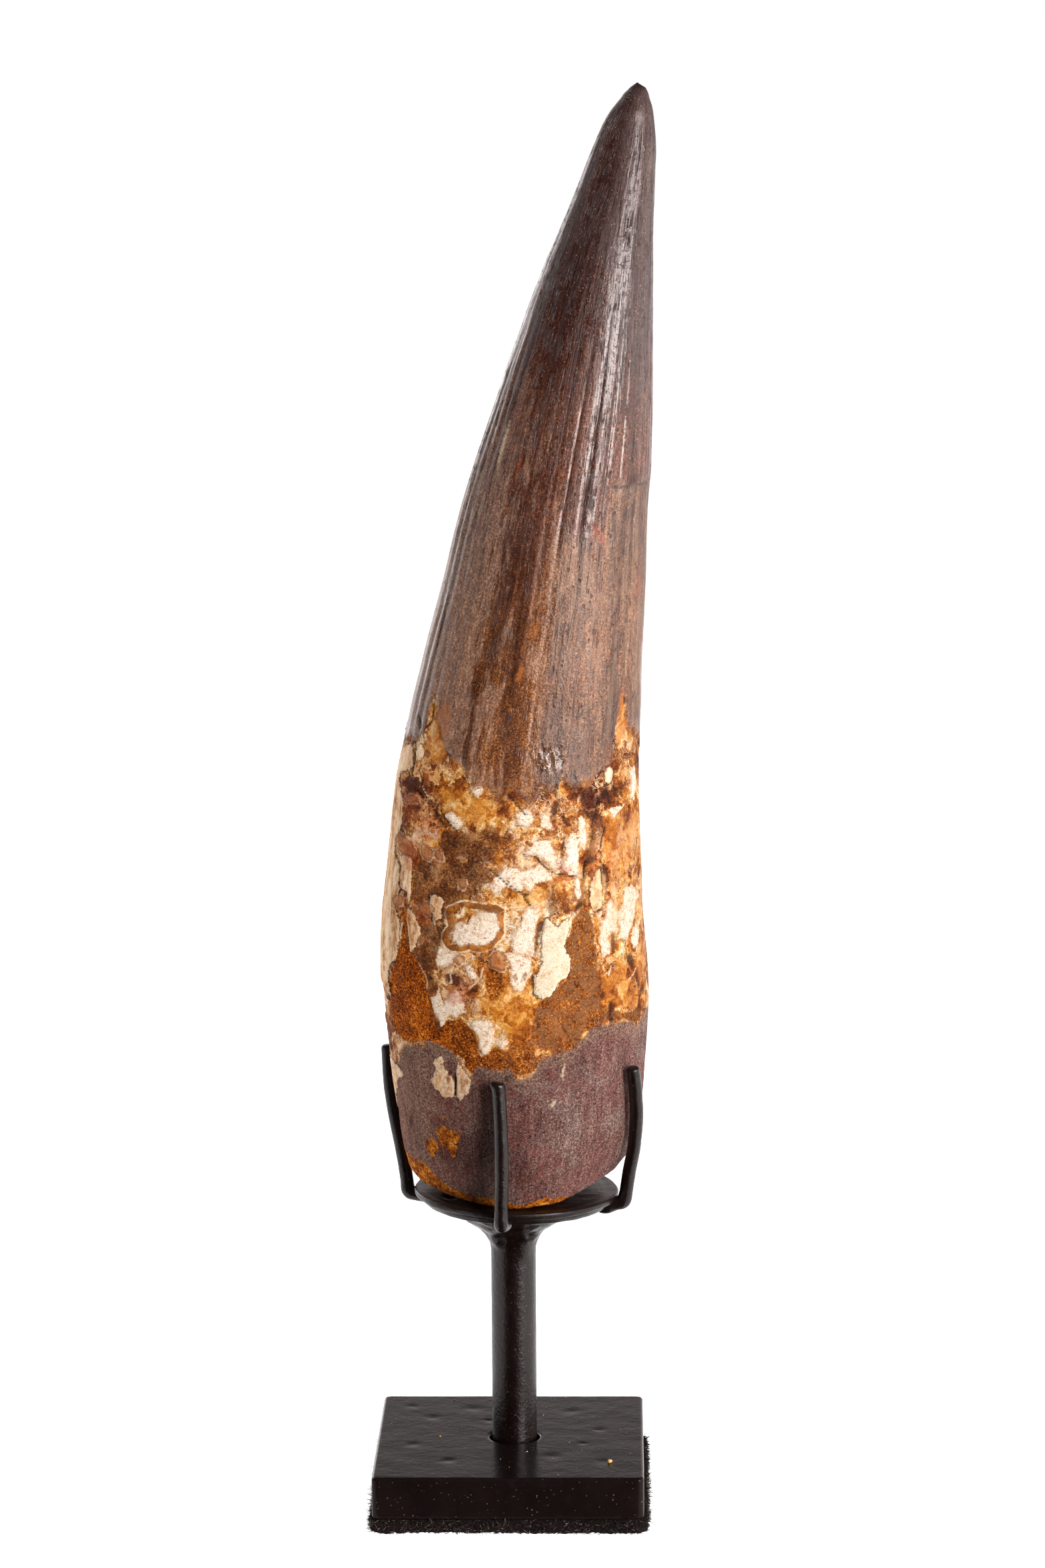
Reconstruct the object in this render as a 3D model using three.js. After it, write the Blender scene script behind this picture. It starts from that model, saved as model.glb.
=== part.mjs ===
import * as THREE from 'three';
import { mergeVertices } from 'three/addons/utils/BufferGeometryUtils.js';

// Fossil spinosaurus tooth standing on its welded steel stand.
// Millimetres, +Z up, +X to the tooth's straight edge, +Y to the back.
// The origin is the middle of the felt's underside.

// ---------- driving dimensions ----------
const GAP = 0.3;                 // clearance kept between neighbouring pieces

// base plate and felt
const PLATE_SIDE = 40.0;
const PLATE_TOP = 8.4;
const PLATE_CORNER = 1.3;        // corner radius seen from above
const PLATE_BEVEL = 0.45;
const PLATE_HOLE_R = 3.75;       // a little larger than the post
const FELT_THICK = 2.1;
const FELT_X0 = -20.5, FELT_X1 = 20.75;
const FELT_Y0 = -20.3, FELT_Y1 = 20.6;
const FELT_CORNER = 2.2;

// post
const POST_R = 3.35;
const POST_X = 0.62, POST_Y = 0.0;
const POST_FLARE = [             // radius, height of the weld flare
  [3.40, 38.0], [3.65, 39.0], [3.90, 39.5], [4.22, 40.0],
  [4.85, 40.8], [5.80, 41.5], [7.00, 42.5], [8.30, 44.0], [8.45, 44.5],
];

// support disc, stepped rim
const DISC_X = 1.15, DISC_Y = 0.45;
const DISC_TOP = 47.0;
const DISC_R = 15.15;            // upper layer
const DISC_R_LOW = 13.8;         // lower layer
const DISC_LAYER = 1.0;          // each layer's thickness
const DISC_TILT = 1.1 * Math.PI / 180;   // right side lower

// prongs: bent round wire
const WIRE_R = 1.0;
const WIRE_SIDES = 10;
const FOOT_R_IN = DISC_R_LOW + GAP + 0.05;   // inner end of the foot, from the disc centre
const FOOT_DROP = 2.35;          // wire centre below the disc top
const PRONGS = {                 // wire centres from the elbow up: x, y, z
  prong_front: [[-0.75, -16.35, 46.6], [-0.62, -16.45, 52.0], [-0.62, -16.6, 57.0],
    [-0.72, -16.75, 62.0], [-1.02, -16.95, 67.2]],
  prong_left: [[-15.35, 4.2, 46.6], [-16.05, 4.3, 51.4], [-16.85, 4.4, 55.5],
    [-17.55, 4.6, 59.6], [-17.95, 4.9, 63.5], [-18.1, 5.1, 67.8]],
  prong_right: [[17.35, -3.1, 46.2], [17.95, -3.9, 50.5], [18.65, -5.0, 54.5],
    [19.05, -6.4, 59.5], [18.9, -7.3, 63.5], [18.5, -8.0, 67.4]],
  prong_back: [[3.4, 17.0, 46.6], [3.5, 17.3, 52.0], [3.6, 17.75, 57.0],
    [3.6, 18.2, 62.0], [3.5, 18.5, 67.6]],
};

// tooth: height, left edge, right edge
const TOOTH_TIP = [19.47, 209.87];
const TOOTH_EDGES = [
  [209.5, 18.80, 20.32], [209.0, 18.42, 20.61], [208.6, 17.94, 20.80],
  [207.6, 17.17, 21.08], [206.7, 16.41, 21.37], [205.7, 15.64, 21.56],
  [203.8, 14.59, 21.75], [201.0, 13.34, 21.93], [197.2, 11.80, 21.80],
  [193.4, 10.25, 21.65], [187.7, 7.85, 21.46], [183.9, 6.17, 21.50],
  [179.1, 4.22, 21.44], [174.3, 2.46, 21.42], [169.5, 0.69, 21.41],
  [164.7, -0.98, 21.38], [159.9, -2.66, 21.30], [155.0, -4.35, 21.20],
  [150.2, -5.84, 20.72], [145.3, -7.20, 20.50], [140.4, -8.42, 20.36],
  [135.5, -9.68, 20.22], [130.6, -10.98, 19.99], [125.7, -12.26, 19.75],
  [120.8, -13.50, 19.62], [115.8, -14.60, 19.48], [110.9, -15.66, 19.54],
  [105.9, -16.45, 19.52], [100.9, -16.98, 19.68], [95.9, -17.56, 19.86],
  [90.9, -18.12, 20.02], [85.9, -18.53, 20.36], [80.8, -18.66, 20.80],
  [75.8, -18.20, 20.92], [70.7, -17.78, 20.66], [66.0, -17.28, 20.32],
  [61.5, -16.66, 19.98], [57.0, -16.15, 19.44], [53.8, -15.68, 18.42],
  [51.2, -15.05, 17.45],
];
// height, depth over width, centre of depth, roundness of the section
// (2 is an ellipse, less is closer to a rounded diamond)
const TOOTH_SECTION = [
  [50.0, 0.860, 0.60, 1.50], [55.0, 0.860, 0.60, 1.60], [60.0, 0.865, 0.65, 1.70],
  [67.0, 0.860, 0.70, 1.80], [80.0, 0.840, 0.70, 1.95], [100.0, 0.830, 0.60, 2.00],
  [130.0, 0.840, 0.50, 2.00], [160.0, 0.870, 0.40, 2.00], [190.0, 0.920, 0.30, 2.00],
  [209.9, 0.970, 0.20, 2.00],
];
// broken bottom: the rim lifts towards the two sides
const BOTTOM_Z = DISC_TOP + 0.38;
const BOTTOM_A = 15.15, BOTTOM_B = 13.4, BOTTOM_X = 1.1, BOTTOM_Y = 0.6, BOTTOM_N = 1.5;
const BOTTOM_LIFT = 1.9;
const TOOTH_AROUND = 48;

// ---------- helpers ----------
function table(rows, z) {
  const asc = rows[0][0] < rows[rows.length - 1][0] ? rows : [...rows].reverse();
  if (z <= asc[0][0]) return asc[0].slice(1);
  for (let i = 1; i < asc.length; i++) {
    if (z <= asc[i][0]) {
      const t = (z - asc[i - 1][0]) / (asc[i][0] - asc[i - 1][0]);
      return asc[i].slice(1).map((v, k) => asc[i - 1][k + 1] * (1 - t) + v * t);
    }
  }
  return asc[asc.length - 1].slice(1);
}

function closed(geometry) {
  geometry.deleteAttribute('uv');
  geometry.deleteAttribute('normal');
  const g = mergeVertices(geometry, 1e-4);
  // drop the collapsed triangles at the poles
  const src = g.index.array;
  const keep = [];
  for (let i = 0; i < src.length; i += 3) {
    const [a, b, c] = [src[i], src[i + 1], src[i + 2]];
    if (a !== b && b !== c && c !== a) keep.push(a, b, c);
  }
  g.setIndex(keep);
  // face outwards
  const p = g.attributes.position;
  let vol = 0;
  const [A, B, C] = [new THREE.Vector3(), new THREE.Vector3(), new THREE.Vector3()];
  for (let i = 0; i < keep.length; i += 3) {
    A.fromBufferAttribute(p, keep[i]);
    B.fromBufferAttribute(p, keep[i + 1]);
    C.fromBufferAttribute(p, keep[i + 2]);
    vol += A.dot(B.cross(C));
  }
  if (vol < 0) {
    for (let i = 0; i < keep.length; i += 3) [keep[i + 1], keep[i + 2]] = [keep[i + 2], keep[i + 1]];
    g.setIndex(keep);
  }
  g.computeVertexNormals();
  return g;
}

function mesh(name, geometry, color, roughness, metalness) {
  const m = new THREE.Mesh(geometry, new THREE.MeshStandardMaterial({ color, roughness, metalness }));
  m.name = name;
  m.material.name = name;
  return m;
}

function roundedRect(x0, y0, x1, y1, r) {
  const s = new THREE.Shape();
  s.moveTo(x0 + r, y0);
  s.lineTo(x1 - r, y0);
  s.absarc(x1 - r, y0 + r, r, -Math.PI / 2, 0, false);
  s.lineTo(x1, y1 - r);
  s.absarc(x1 - r, y1 - r, r, 0, Math.PI / 2, false);
  s.lineTo(x0 + r, y1);
  s.absarc(x0 + r, y1 - r, r, Math.PI / 2, Math.PI, false);
  s.lineTo(x0, y0 + r);
  s.absarc(x0 + r, y0 + r, r, Math.PI, 1.5 * Math.PI, false);
  return s;
}

// ---------- tooth ----------
function toothGeometry() {
  const heights = TOOTH_EDGES.map((r) => r[0]);
  const rings = 1 + heights.length + 4;      // tip, sides, rim and bottom
  const g = new THREE.SphereGeometry(1, TOOTH_AROUND, rings);
  const p = g.attributes.position;
  const power = (v, n) => Math.sign(v) * Math.pow(Math.abs(v), 2 / n);
  for (let j = 0; j <= rings; j++) {
    for (let i = 0; i <= TOOTH_AROUND; i++) {
      const phi = (i / TOOTH_AROUND) * 2 * Math.PI;
      const c = i === TOOTH_AROUND ? -1 : -Math.cos(phi);
      const s = i === TOOTH_AROUND ? 0 : -Math.sin(phi);
      let x, y, z;
      if (j === 0) {
        [x, z] = TOOTH_TIP;
        y = 0.2;
      } else if (j <= heights.length) {
        const [h, xl, xr] = TOOTH_EDGES[j - 1];
        const [k, cy, n] = table(TOOTH_SECTION, h);
        const a = (xr - xl) / 2;
        x = (xl + xr) / 2 + a * power(c, n);
        y = cy + a * k * power(s, n);
        // the lowest rings start to follow the lifted rim
        const low = Math.max(0, 1 - (h - 51.2) / 6);
        z = h - low * 1.1 * (1 - c * c);
      } else {
        const q = [1.0, 0.93, 0.55, 0][j - heights.length - 1];
        const drop = [0.35, 0.0, 0.0, 0.0][j - heights.length - 1];
        const cc = power(c, BOTTOM_N), ss = power(s, BOTTOM_N);
        x = BOTTOM_X + BOTTOM_A * q * cc;
        y = BOTTOM_Y + BOTTOM_B * q * ss;
        z = BOTTOM_Z + drop + BOTTOM_LIFT * (q * cc) * (q * cc);
      }
      p.setXYZ(j * (TOOTH_AROUND + 1) + i, x, y, z);
    }
  }
  return closed(g);
}

// ---------- support disc ----------
function discGeometry() {
  const b = 0.18;
  const t = DISC_TOP, m = DISC_TOP - DISC_LAYER, l = DISC_TOP - 2 * DISC_LAYER;
  const profile = [
    [0, l], [DISC_R_LOW - b, l], [DISC_R_LOW, l + b], [DISC_R_LOW, m],
    [DISC_R - b, m], [DISC_R, m + b], [DISC_R, t - b], [DISC_R - b, t], [0, t],
  ].map(([r, z]) => new THREE.Vector2(r, z - DISC_TOP));
  const g = new THREE.LatheGeometry(profile, 40);
  g.rotateX(Math.PI / 2);
  g.rotateY(DISC_TILT);
  g.translate(DISC_X, DISC_Y, DISC_TOP);
  return closed(g);
}

// ---------- prongs ----------
function prongGeometry(stations) {
  const pts = stations.map((s) => new THREE.Vector3(...s));
  const centre = new THREE.Vector3(DISC_X, DISC_Y, 0);
  const out = new THREE.Vector3(pts[0].x, pts[0].y, 0).sub(centre);
  const reach = out.length();
  out.normalize();
  const footZ = DISC_TOP - FOOT_DROP - Math.tan(DISC_TILT) * (pts[0].x - DISC_X);
  const at = (r, z) => new THREE.Vector3(centre.x + out.x * r, centre.y + out.y * r, z);
  const bend = 1.45;
  const path = [at(FOOT_R_IN, footZ), at(reach - bend, footZ)];
  for (const a of [25, 50, 72]) {
    const t = a * Math.PI / 180;
    path.push(at(reach - bend + bend * Math.sin(t), footZ + bend * (1 - Math.cos(t))));
  }
  const curve = new THREE.CatmullRomCurve3([...path, ...pts], false, 'centripetal');
  const wire = new THREE.Shape();
  wire.absarc(0, 0, WIRE_R, 0, 2 * Math.PI, false);
  const g = new THREE.ExtrudeGeometry(wire, {
    steps: 20, curveSegments: WIRE_SIDES / 2, bevelEnabled: false, extrudePath: curve,
  });
  return closed(g);
}

// ---------- post with its weld flare ----------
function postGeometry() {
  const foot = FELT_THICK + GAP;
  const profile = [[0, foot], [POST_R - 0.25, foot], [POST_R, foot + 0.25], [POST_R, 36.5],
    ...POST_FLARE, [0, POST_FLARE[POST_FLARE.length - 1][1]]]
    .map(([r, z]) => new THREE.Vector2(r, z));
  const g = new THREE.LatheGeometry(profile, 30);
  g.rotateX(Math.PI / 2);
  g.translate(POST_X, POST_Y, 0);
  return closed(g);
}

// ---------- base plate ----------
function plateGeometry() {
  const h = PLATE_SIDE / 2 - PLATE_BEVEL;
  const shape = roundedRect(-h, -h, h, h, PLATE_CORNER - PLATE_BEVEL);
  const hole = new THREE.Path();
  hole.absarc(POST_X, POST_Y, PLATE_HOLE_R + PLATE_BEVEL, 0, 2 * Math.PI, true);
  shape.holes.push(hole);
  const bottom = FELT_THICK + GAP;
  const g = new THREE.ExtrudeGeometry(shape, {
    depth: PLATE_TOP - bottom - 2 * PLATE_BEVEL, steps: 1, curveSegments: 10,
    bevelEnabled: true, bevelThickness: PLATE_BEVEL, bevelSize: PLATE_BEVEL, bevelSegments: 3,
  });
  g.translate(0, 0, bottom + PLATE_BEVEL);
  return closed(g);
}

// ---------- felt pad ----------
function feltGeometry() {
  const g = new THREE.ExtrudeGeometry(roundedRect(FELT_X0, FELT_Y0, FELT_X1, FELT_Y1, FELT_CORNER), {
    depth: FELT_THICK, steps: 1, curveSegments: 6, bevelEnabled: false,
  });
  return closed(g);
}

const group = new THREE.Group();
group.name = 'fossil_tooth_on_stand';
group.add(mesh('tooth', toothGeometry(), 0x6b4a35, 0.55, 0.0));
group.add(mesh('support_disc', discGeometry(), 0x1c1918, 0.45, 0.1));
for (const [name, stations] of Object.entries(PRONGS)) {
  group.add(mesh(name, prongGeometry(stations), 0x1c1918, 0.45, 0.1));
}
group.add(mesh('post', postGeometry(), 0x1c1918, 0.45, 0.1));
group.add(mesh('base_plate', plateGeometry(), 0x1c1918, 0.45, 0.1));
group.add(mesh('felt_pad', feltGeometry(), 0x161514, 0.95, 0.0));

export default group;
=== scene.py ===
import math

import bpy
import numpy as np
from mathutils import Matrix, Vector

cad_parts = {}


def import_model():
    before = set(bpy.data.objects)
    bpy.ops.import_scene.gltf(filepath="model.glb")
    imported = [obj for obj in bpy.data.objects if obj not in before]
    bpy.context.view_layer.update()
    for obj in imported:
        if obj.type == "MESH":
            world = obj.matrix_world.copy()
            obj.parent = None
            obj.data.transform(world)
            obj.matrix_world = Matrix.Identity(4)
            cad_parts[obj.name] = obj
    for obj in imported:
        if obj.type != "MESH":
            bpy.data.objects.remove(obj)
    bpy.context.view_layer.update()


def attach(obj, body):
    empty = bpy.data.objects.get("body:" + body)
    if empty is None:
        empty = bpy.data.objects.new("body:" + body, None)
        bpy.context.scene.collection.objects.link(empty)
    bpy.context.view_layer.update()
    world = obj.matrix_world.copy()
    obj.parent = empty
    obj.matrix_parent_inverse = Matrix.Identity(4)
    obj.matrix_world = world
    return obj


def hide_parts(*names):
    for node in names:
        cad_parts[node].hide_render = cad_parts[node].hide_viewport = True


# A fossil spinosaurus tooth in its welded stand.
# Shapes are worked out in millimetres and written to Blender in metres.
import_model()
MM = 0.001
RNG = np.random.default_rng(41)


# ------------------------------------------------------------------ noise
def _hash(ix, iy, iz, seed):
    h = (ix.astype(np.int64) * 374761393 + iy.astype(np.int64) * 668265263
         + iz.astype(np.int64) * 1442695041 + seed * 974711) & 0xFFFFFFFF
    h = ((h ^ (h >> 13)) * 1274126177) & 0xFFFFFFFF
    h = ((h ^ (h >> 15)) * 2246822519) & 0xFFFFFFFF
    return h ^ (h >> 16)


def perlin(p, seed=0):
    """gradient noise, about -1 to 1"""
    i = np.floor(p)
    f = p - i
    u = f * f * f * (f * (f * 6 - 15) + 10)
    i = i.astype(np.int64)
    out = np.zeros(len(p))
    for dx in (0, 1):
        for dy in (0, 1):
            for dz in (0, 1):
                h = _hash(i[:, 0] + dx, i[:, 1] + dy, i[:, 2] + dz, seed)
                g = ((h & 1023) / 511.5 - 1) * (f[:, 0] - dx) \
                    + (((h >> 10) & 1023) / 511.5 - 1) * (f[:, 1] - dy) \
                    + (((h >> 20) & 1023) / 511.5 - 1) * (f[:, 2] - dz)
                w = (u[:, 0] if dx else 1 - u[:, 0]) * (u[:, 1] if dy else 1 - u[:, 1]) \
                    * (u[:, 2] if dz else 1 - u[:, 2])
                out += g * w
    return out * 1.25


def fbm(p, octaves=4, gain=0.5, seed=0):
    out = np.zeros(len(p))
    a, tot = 1.0, 0.0
    for k in range(octaves):
        out += a * perlin(p * (2.03 ** k) + 17.3 * k, seed + k * 7)
        tot += a
        a *= gain
    return out / tot


def worley(p, seed=0):
    """distance to the nearest and second nearest feature point"""
    i = np.floor(p).astype(np.int64)
    d1 = np.full(len(p), 9.0)
    d2 = np.full(len(p), 9.0)
    for dx in (-1, 0, 1):
        for dy in (-1, 0, 1):
            for dz in (-1, 0, 1):
                c = i + np.array([dx, dy, dz])
                h = _hash(c[:, 0], c[:, 1], c[:, 2], seed)
                q = c + np.stack([(h & 1023) / 1023.0, ((h >> 10) & 1023) / 1023.0,
                                  ((h >> 20) & 1023) / 1023.0], 1)
                d = np.linalg.norm(q - p, axis=1)
                d2 = np.minimum(np.maximum(d, d1), d2)
                d1 = np.minimum(d, d1)
    return d1, d2


def smooth(e0, e1, x):
    t = np.clip((x - e0) / (e1 - e0), 0, 1)
    return t * t * (3 - 2 * t)


# ------------------------------------------------------------------ mesh helpers
def make_mesh(name, verts, faces, attributes=(), smooth_faces=True):
    me = bpy.data.meshes.new(name)
    me.from_pydata((np.asarray(verts) * MM).tolist(), [], faces if isinstance(faces, list) else faces.tolist())
    me.validate()
    me.update()
    if smooth_faces:
        me.polygons.foreach_set("use_smooth", [True] * len(me.polygons))
    for key, values in dict(attributes).items():
        values = np.asarray(values, dtype=np.float32)
        kind = "FLOAT_VECTOR" if values.ndim == 2 else "FLOAT"
        a = me.attributes.new(key, kind, "POINT")
        a.data.foreach_set("vector" if values.ndim == 2 else "value", values.ravel())
    ob = bpy.data.objects.new(name, me)
    bpy.context.scene.collection.objects.link(ob)
    return ob


def grid_faces(rows, cols, first=0, wrap=True):
    """quads of a grid of rows by cols points, turning outwards when columns run counter-clockwise and rows go up"""
    r = np.arange(rows - 1)[:, None]
    c = np.arange(cols if wrap else cols - 1)[None, :]
    c2 = (c + 1) % cols
    a = first + r * cols + c
    b = first + r * cols + c2
    d = first + (r + 1) * cols + c
    e = first + (r + 1) * cols + c2
    return np.stack([a, b, e, d], -1).reshape(-1, 4)


def fan(ring, pole, flip=False):
    n = len(ring)
    return [[ring[i], ring[(i + 1) % n], pole] if not flip else [ring[(i + 1) % n], ring[i], pole]
            for i in range(n)]


def catmull(pts, per=8):
    """centripetal Catmull-Rom through the points"""
    P = np.asarray(pts, float)
    P = np.vstack([2 * P[0] - P[1], P, 2 * P[-1] - P[-2]])
    out = []
    for i in range(1, len(P) - 2):
        p0, p1, p2, p3 = P[i - 1:i + 3]
        t1 = np.linalg.norm(p1 - p0) ** 0.5
        t2 = t1 + np.linalg.norm(p2 - p1) ** 0.5
        t3 = t2 + np.linalg.norm(p3 - p2) ** 0.5
        for t in np.linspace(t1, t2, per, endpoint=False):
            a1 = (t1 - t) / t1 * p0 + t / t1 * p1
            a2 = (t2 - t) / (t2 - t1) * p1 + (t - t1) / (t2 - t1) * p2
            a3 = (t3 - t) / (t3 - t2) * p2 + (t - t2) / (t3 - t2) * p3
            b1 = (t2 - t) / t2 * a1 + t / t2 * a2
            b2 = (t3 - t) / (t3 - t1) * a2 + (t - t1) / (t3 - t1) * a3
            out.append((t2 - t) / (t2 - t1) * b1 + (t - t1) / (t2 - t1) * b2)
    out.append(P[-2])
    return np.array(out)


def tube(path, radius, sides=28, cap=0.35):
    """a round bar along the path, with rounded ends; radius may vary along it"""
    path = np.asarray(path, float)
    radius = np.broadcast_to(np.asarray(radius, float), (len(path),)).copy()
    tan = np.gradient(path, axis=0)
    tan /= np.linalg.norm(tan, axis=1, keepdims=True)
    up = np.array([0.0, 0.0, 1.0]) if abs(tan[0, 2]) < 0.9 else np.array([1.0, 0.0, 0.0])
    u = np.cross(up, tan[0])
    u /= np.linalg.norm(u)
    rings = []
    frames = []
    for i in range(len(path)):
        u = u - tan[i] * (u @ tan[i])
        u /= np.linalg.norm(u)
        frames.append((u.copy(), np.cross(tan[i], u)))
    ang = np.arange(sides) / sides * 2 * math.pi
    def ring(c, fr, r):
        return c + r * (np.cos(ang)[:, None] * fr[0] + np.sin(ang)[:, None] * fr[1])
    # rounded start
    for a in (80, 60, 35, 12):
        s, c = math.sin(math.radians(a)), math.cos(math.radians(a))
        rings.append(ring(path[0] + tan[0] * cap * (1 - s) , frames[0], radius[0] - cap * (1 - c)))
    k0 = 0
    while np.linalg.norm(path[k0] - path[0]) < cap * 1.02:
        k0 += 1
    k1 = len(path) - 1
    while np.linalg.norm(path[k1] - path[-1]) < cap * 1.02:
        k1 -= 1
    for i in range(k0, k1 + 1):
        rings.append(ring(path[i], frames[i], radius[i]))
    for a in (12, 35, 60, 80):
        s, c = math.sin(math.radians(a)), math.cos(math.radians(a))
        rings.append(ring(path[-1] - tan[-1] * cap * (1 - s), frames[-1], radius[-1] - cap * (1 - c)))
    V = np.vstack(rings)
    n = len(rings)
    F = grid_faces(n, sides).tolist()
    V = np.vstack([V, path[0], path[-1]])
    p0, p1 = len(V) - 2, len(V) - 1
    F += fan(list(range(sides)), p0, flip=True)
    F += fan(list(range((n - 1) * sides, n * sides)), p1)
    return V, F


def outward(V, F):
    """turns all faces round if the closed surface faces inwards"""
    vol = 0.0
    for f in F:
        for k in range(1, len(f) - 1):
            a, b, c = V[f[0]], V[f[k]], V[f[k + 1]]
            vol += np.dot(a, np.cross(b, c))
    return [list(reversed(f)) for f in F] if vol < 0 else F


def vertex_normals(V, F):
    """area-weighted vertex normals of a mesh of quads and triangles"""
    N = np.zeros_like(V)
    Q = np.array([f for f in F if len(f) == 4])
    T = np.array([f for f in F if len(f) == 3])
    if len(Q):
        n = np.cross(V[Q[:, 2]] - V[Q[:, 0]], V[Q[:, 3]] - V[Q[:, 1]])
        for k in range(4):
            np.add.at(N, Q[:, k], n)
    if len(T):
        n = np.cross(V[T[:, 1]] - V[T[:, 0]], V[T[:, 2]] - V[T[:, 0]])
        for k in range(3):
            np.add.at(N, T[:, k], n)
    return N / np.maximum(np.linalg.norm(N, axis=1, keepdims=True), 1e-12)


# ------------------------------------------------------------------ material helpers
def rgb(r, g, b):
    """a screen colour, 0 to 255, as linear light"""
    def lin(v):
        v /= 255.0
        return v / 12.92 if v <= 0.04045 else ((v + 0.055) / 1.055) ** 2.4
    return (lin(r), lin(g), lin(b), 1.0)


class Nodes:
    """short names for building a material's nodes"""

    def __init__(self, name):
        self.mat = bpy.data.materials.new(name)
        self.mat.use_nodes = True
        self.t = self.mat.node_tree
        self.t.nodes.clear()
        self.out = self.t.nodes.new("ShaderNodeOutputMaterial")
        self.bsdf = self.t.nodes.new("ShaderNodeBsdfPrincipled")
        self.t.links.new(self.bsdf.outputs[0], self.out.inputs["Surface"])

    def put(self, socket, value):
        if isinstance(value, bpy.types.NodeSocket):
            self.t.links.new(value, socket)
        elif value is not None:
            socket.default_value = value

    def attr(self, name, vector=False):
        n = self.t.nodes.new("ShaderNodeAttribute")
        n.attribute_name = name
        return n.outputs["Vector"] if vector else n.outputs["Fac"]

    def coords(self):
        return self.t.nodes.new("ShaderNodeTexCoord").outputs["Object"]

    def scaled(self, vec, x, y, z, loc=(0, 0, 0)):
        n = self.t.nodes.new("ShaderNodeMapping")
        self.put(n.inputs["Vector"], vec)
        n.inputs["Scale"].default_value = (x, y, z)
        n.inputs["Location"].default_value = loc
        return n.outputs[0]

    def noise(self, vec, scale=1.0, detail=3.0, rough=0.5, distort=0.0):
        n = self.t.nodes.new("ShaderNodeTexNoise")
        self.put(n.inputs["Vector"], vec)
        n.inputs["Scale"].default_value = scale
        n.inputs["Detail"].default_value = detail
        n.inputs["Roughness"].default_value = rough
        n.inputs["Distortion"].default_value = distort
        return n.outputs["Fac"]

    def voronoi(self, vec, scale=1.0, feature="F1", out="Distance", rand=1.0):
        n = self.t.nodes.new("ShaderNodeTexVoronoi")
        n.feature = feature
        self.put(n.inputs["Vector"], vec)
        n.inputs["Scale"].default_value = scale
        n.inputs["Randomness"].default_value = rand
        return n.outputs[out]

    def math(self, op, a, b=None, c=None, clamp=False):
        n = self.t.nodes.new("ShaderNodeMath")
        n.operation = op
        n.use_clamp = clamp
        self.put(n.inputs[0], a)
        if b is not None:
            self.put(n.inputs[1], b)
        if c is not None:
            self.put(n.inputs[2], c)
        return n.outputs[0]

    def span(self, v, a, b, lo=0.0, hi=1.0, soft=True):
        n = self.t.nodes.new("ShaderNodeMapRange")
        n.interpolation_type = "SMOOTHSTEP" if soft else "LINEAR"
        self.put(n.inputs["Value"], v)
        n.inputs["From Min"].default_value = a
        n.inputs["From Max"].default_value = b
        n.inputs["To Min"].default_value = lo
        n.inputs["To Max"].default_value = hi
        return n.outputs[0]

    def mix(self, f, a, b, blend="MIX"):
        n = self.t.nodes.new("ShaderNodeMix")
        n.data_type = "RGBA"
        n.blend_type = blend
        self.put(n.inputs[0], f)
        self.put(n.inputs[6], a)
        self.put(n.inputs[7], b)
        return n.outputs[2]

    def blend(self, f, a, b):
        n = self.t.nodes.new("ShaderNodeMix")
        n.data_type = "FLOAT"
        self.put(n.inputs[0], f)
        self.put(n.inputs[2], a)
        self.put(n.inputs[3], b)
        return n.outputs[0]

    def ramp(self, v, stops):
        n = self.t.nodes.new("ShaderNodeValToRGB")
        e = n.color_ramp.elements
        while len(e) > 1:
            e.remove(e[-1])
        e[0].position = stops[0][0]
        e[0].color = stops[0][1]
        for pos, col in stops[1:]:
            k = e.new(pos)
            k.color = col
        self.put(n.inputs[0], v)
        return n.outputs[0]

    def bump(self, height, distance=0.001, strength=1.0, normal=None):
        n = self.t.nodes.new("ShaderNodeBump")
        n.inputs["Strength"].default_value = strength
        n.inputs["Distance"].default_value = distance
        self.put(n.inputs["Height"], height)
        if normal is not None:
            self.put(n.inputs["Normal"], normal)
        return n.outputs[0]

    def set(self, **kw):
        names = {"color": "Base Color", "rough": "Roughness", "normal": "Normal", "metal": "Metallic",
                 "specular": "Specular IOR Level", "ior": "IOR", "coat": "Coat Weight",
                 "coat_rough": "Coat Roughness", "sheen": "Sheen Weight", "sheen_rough": "Sheen Roughness"}
        for k, v in kw.items():
            self.put(self.bsdf.inputs[names[k]], v)
        return self.mat


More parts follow.
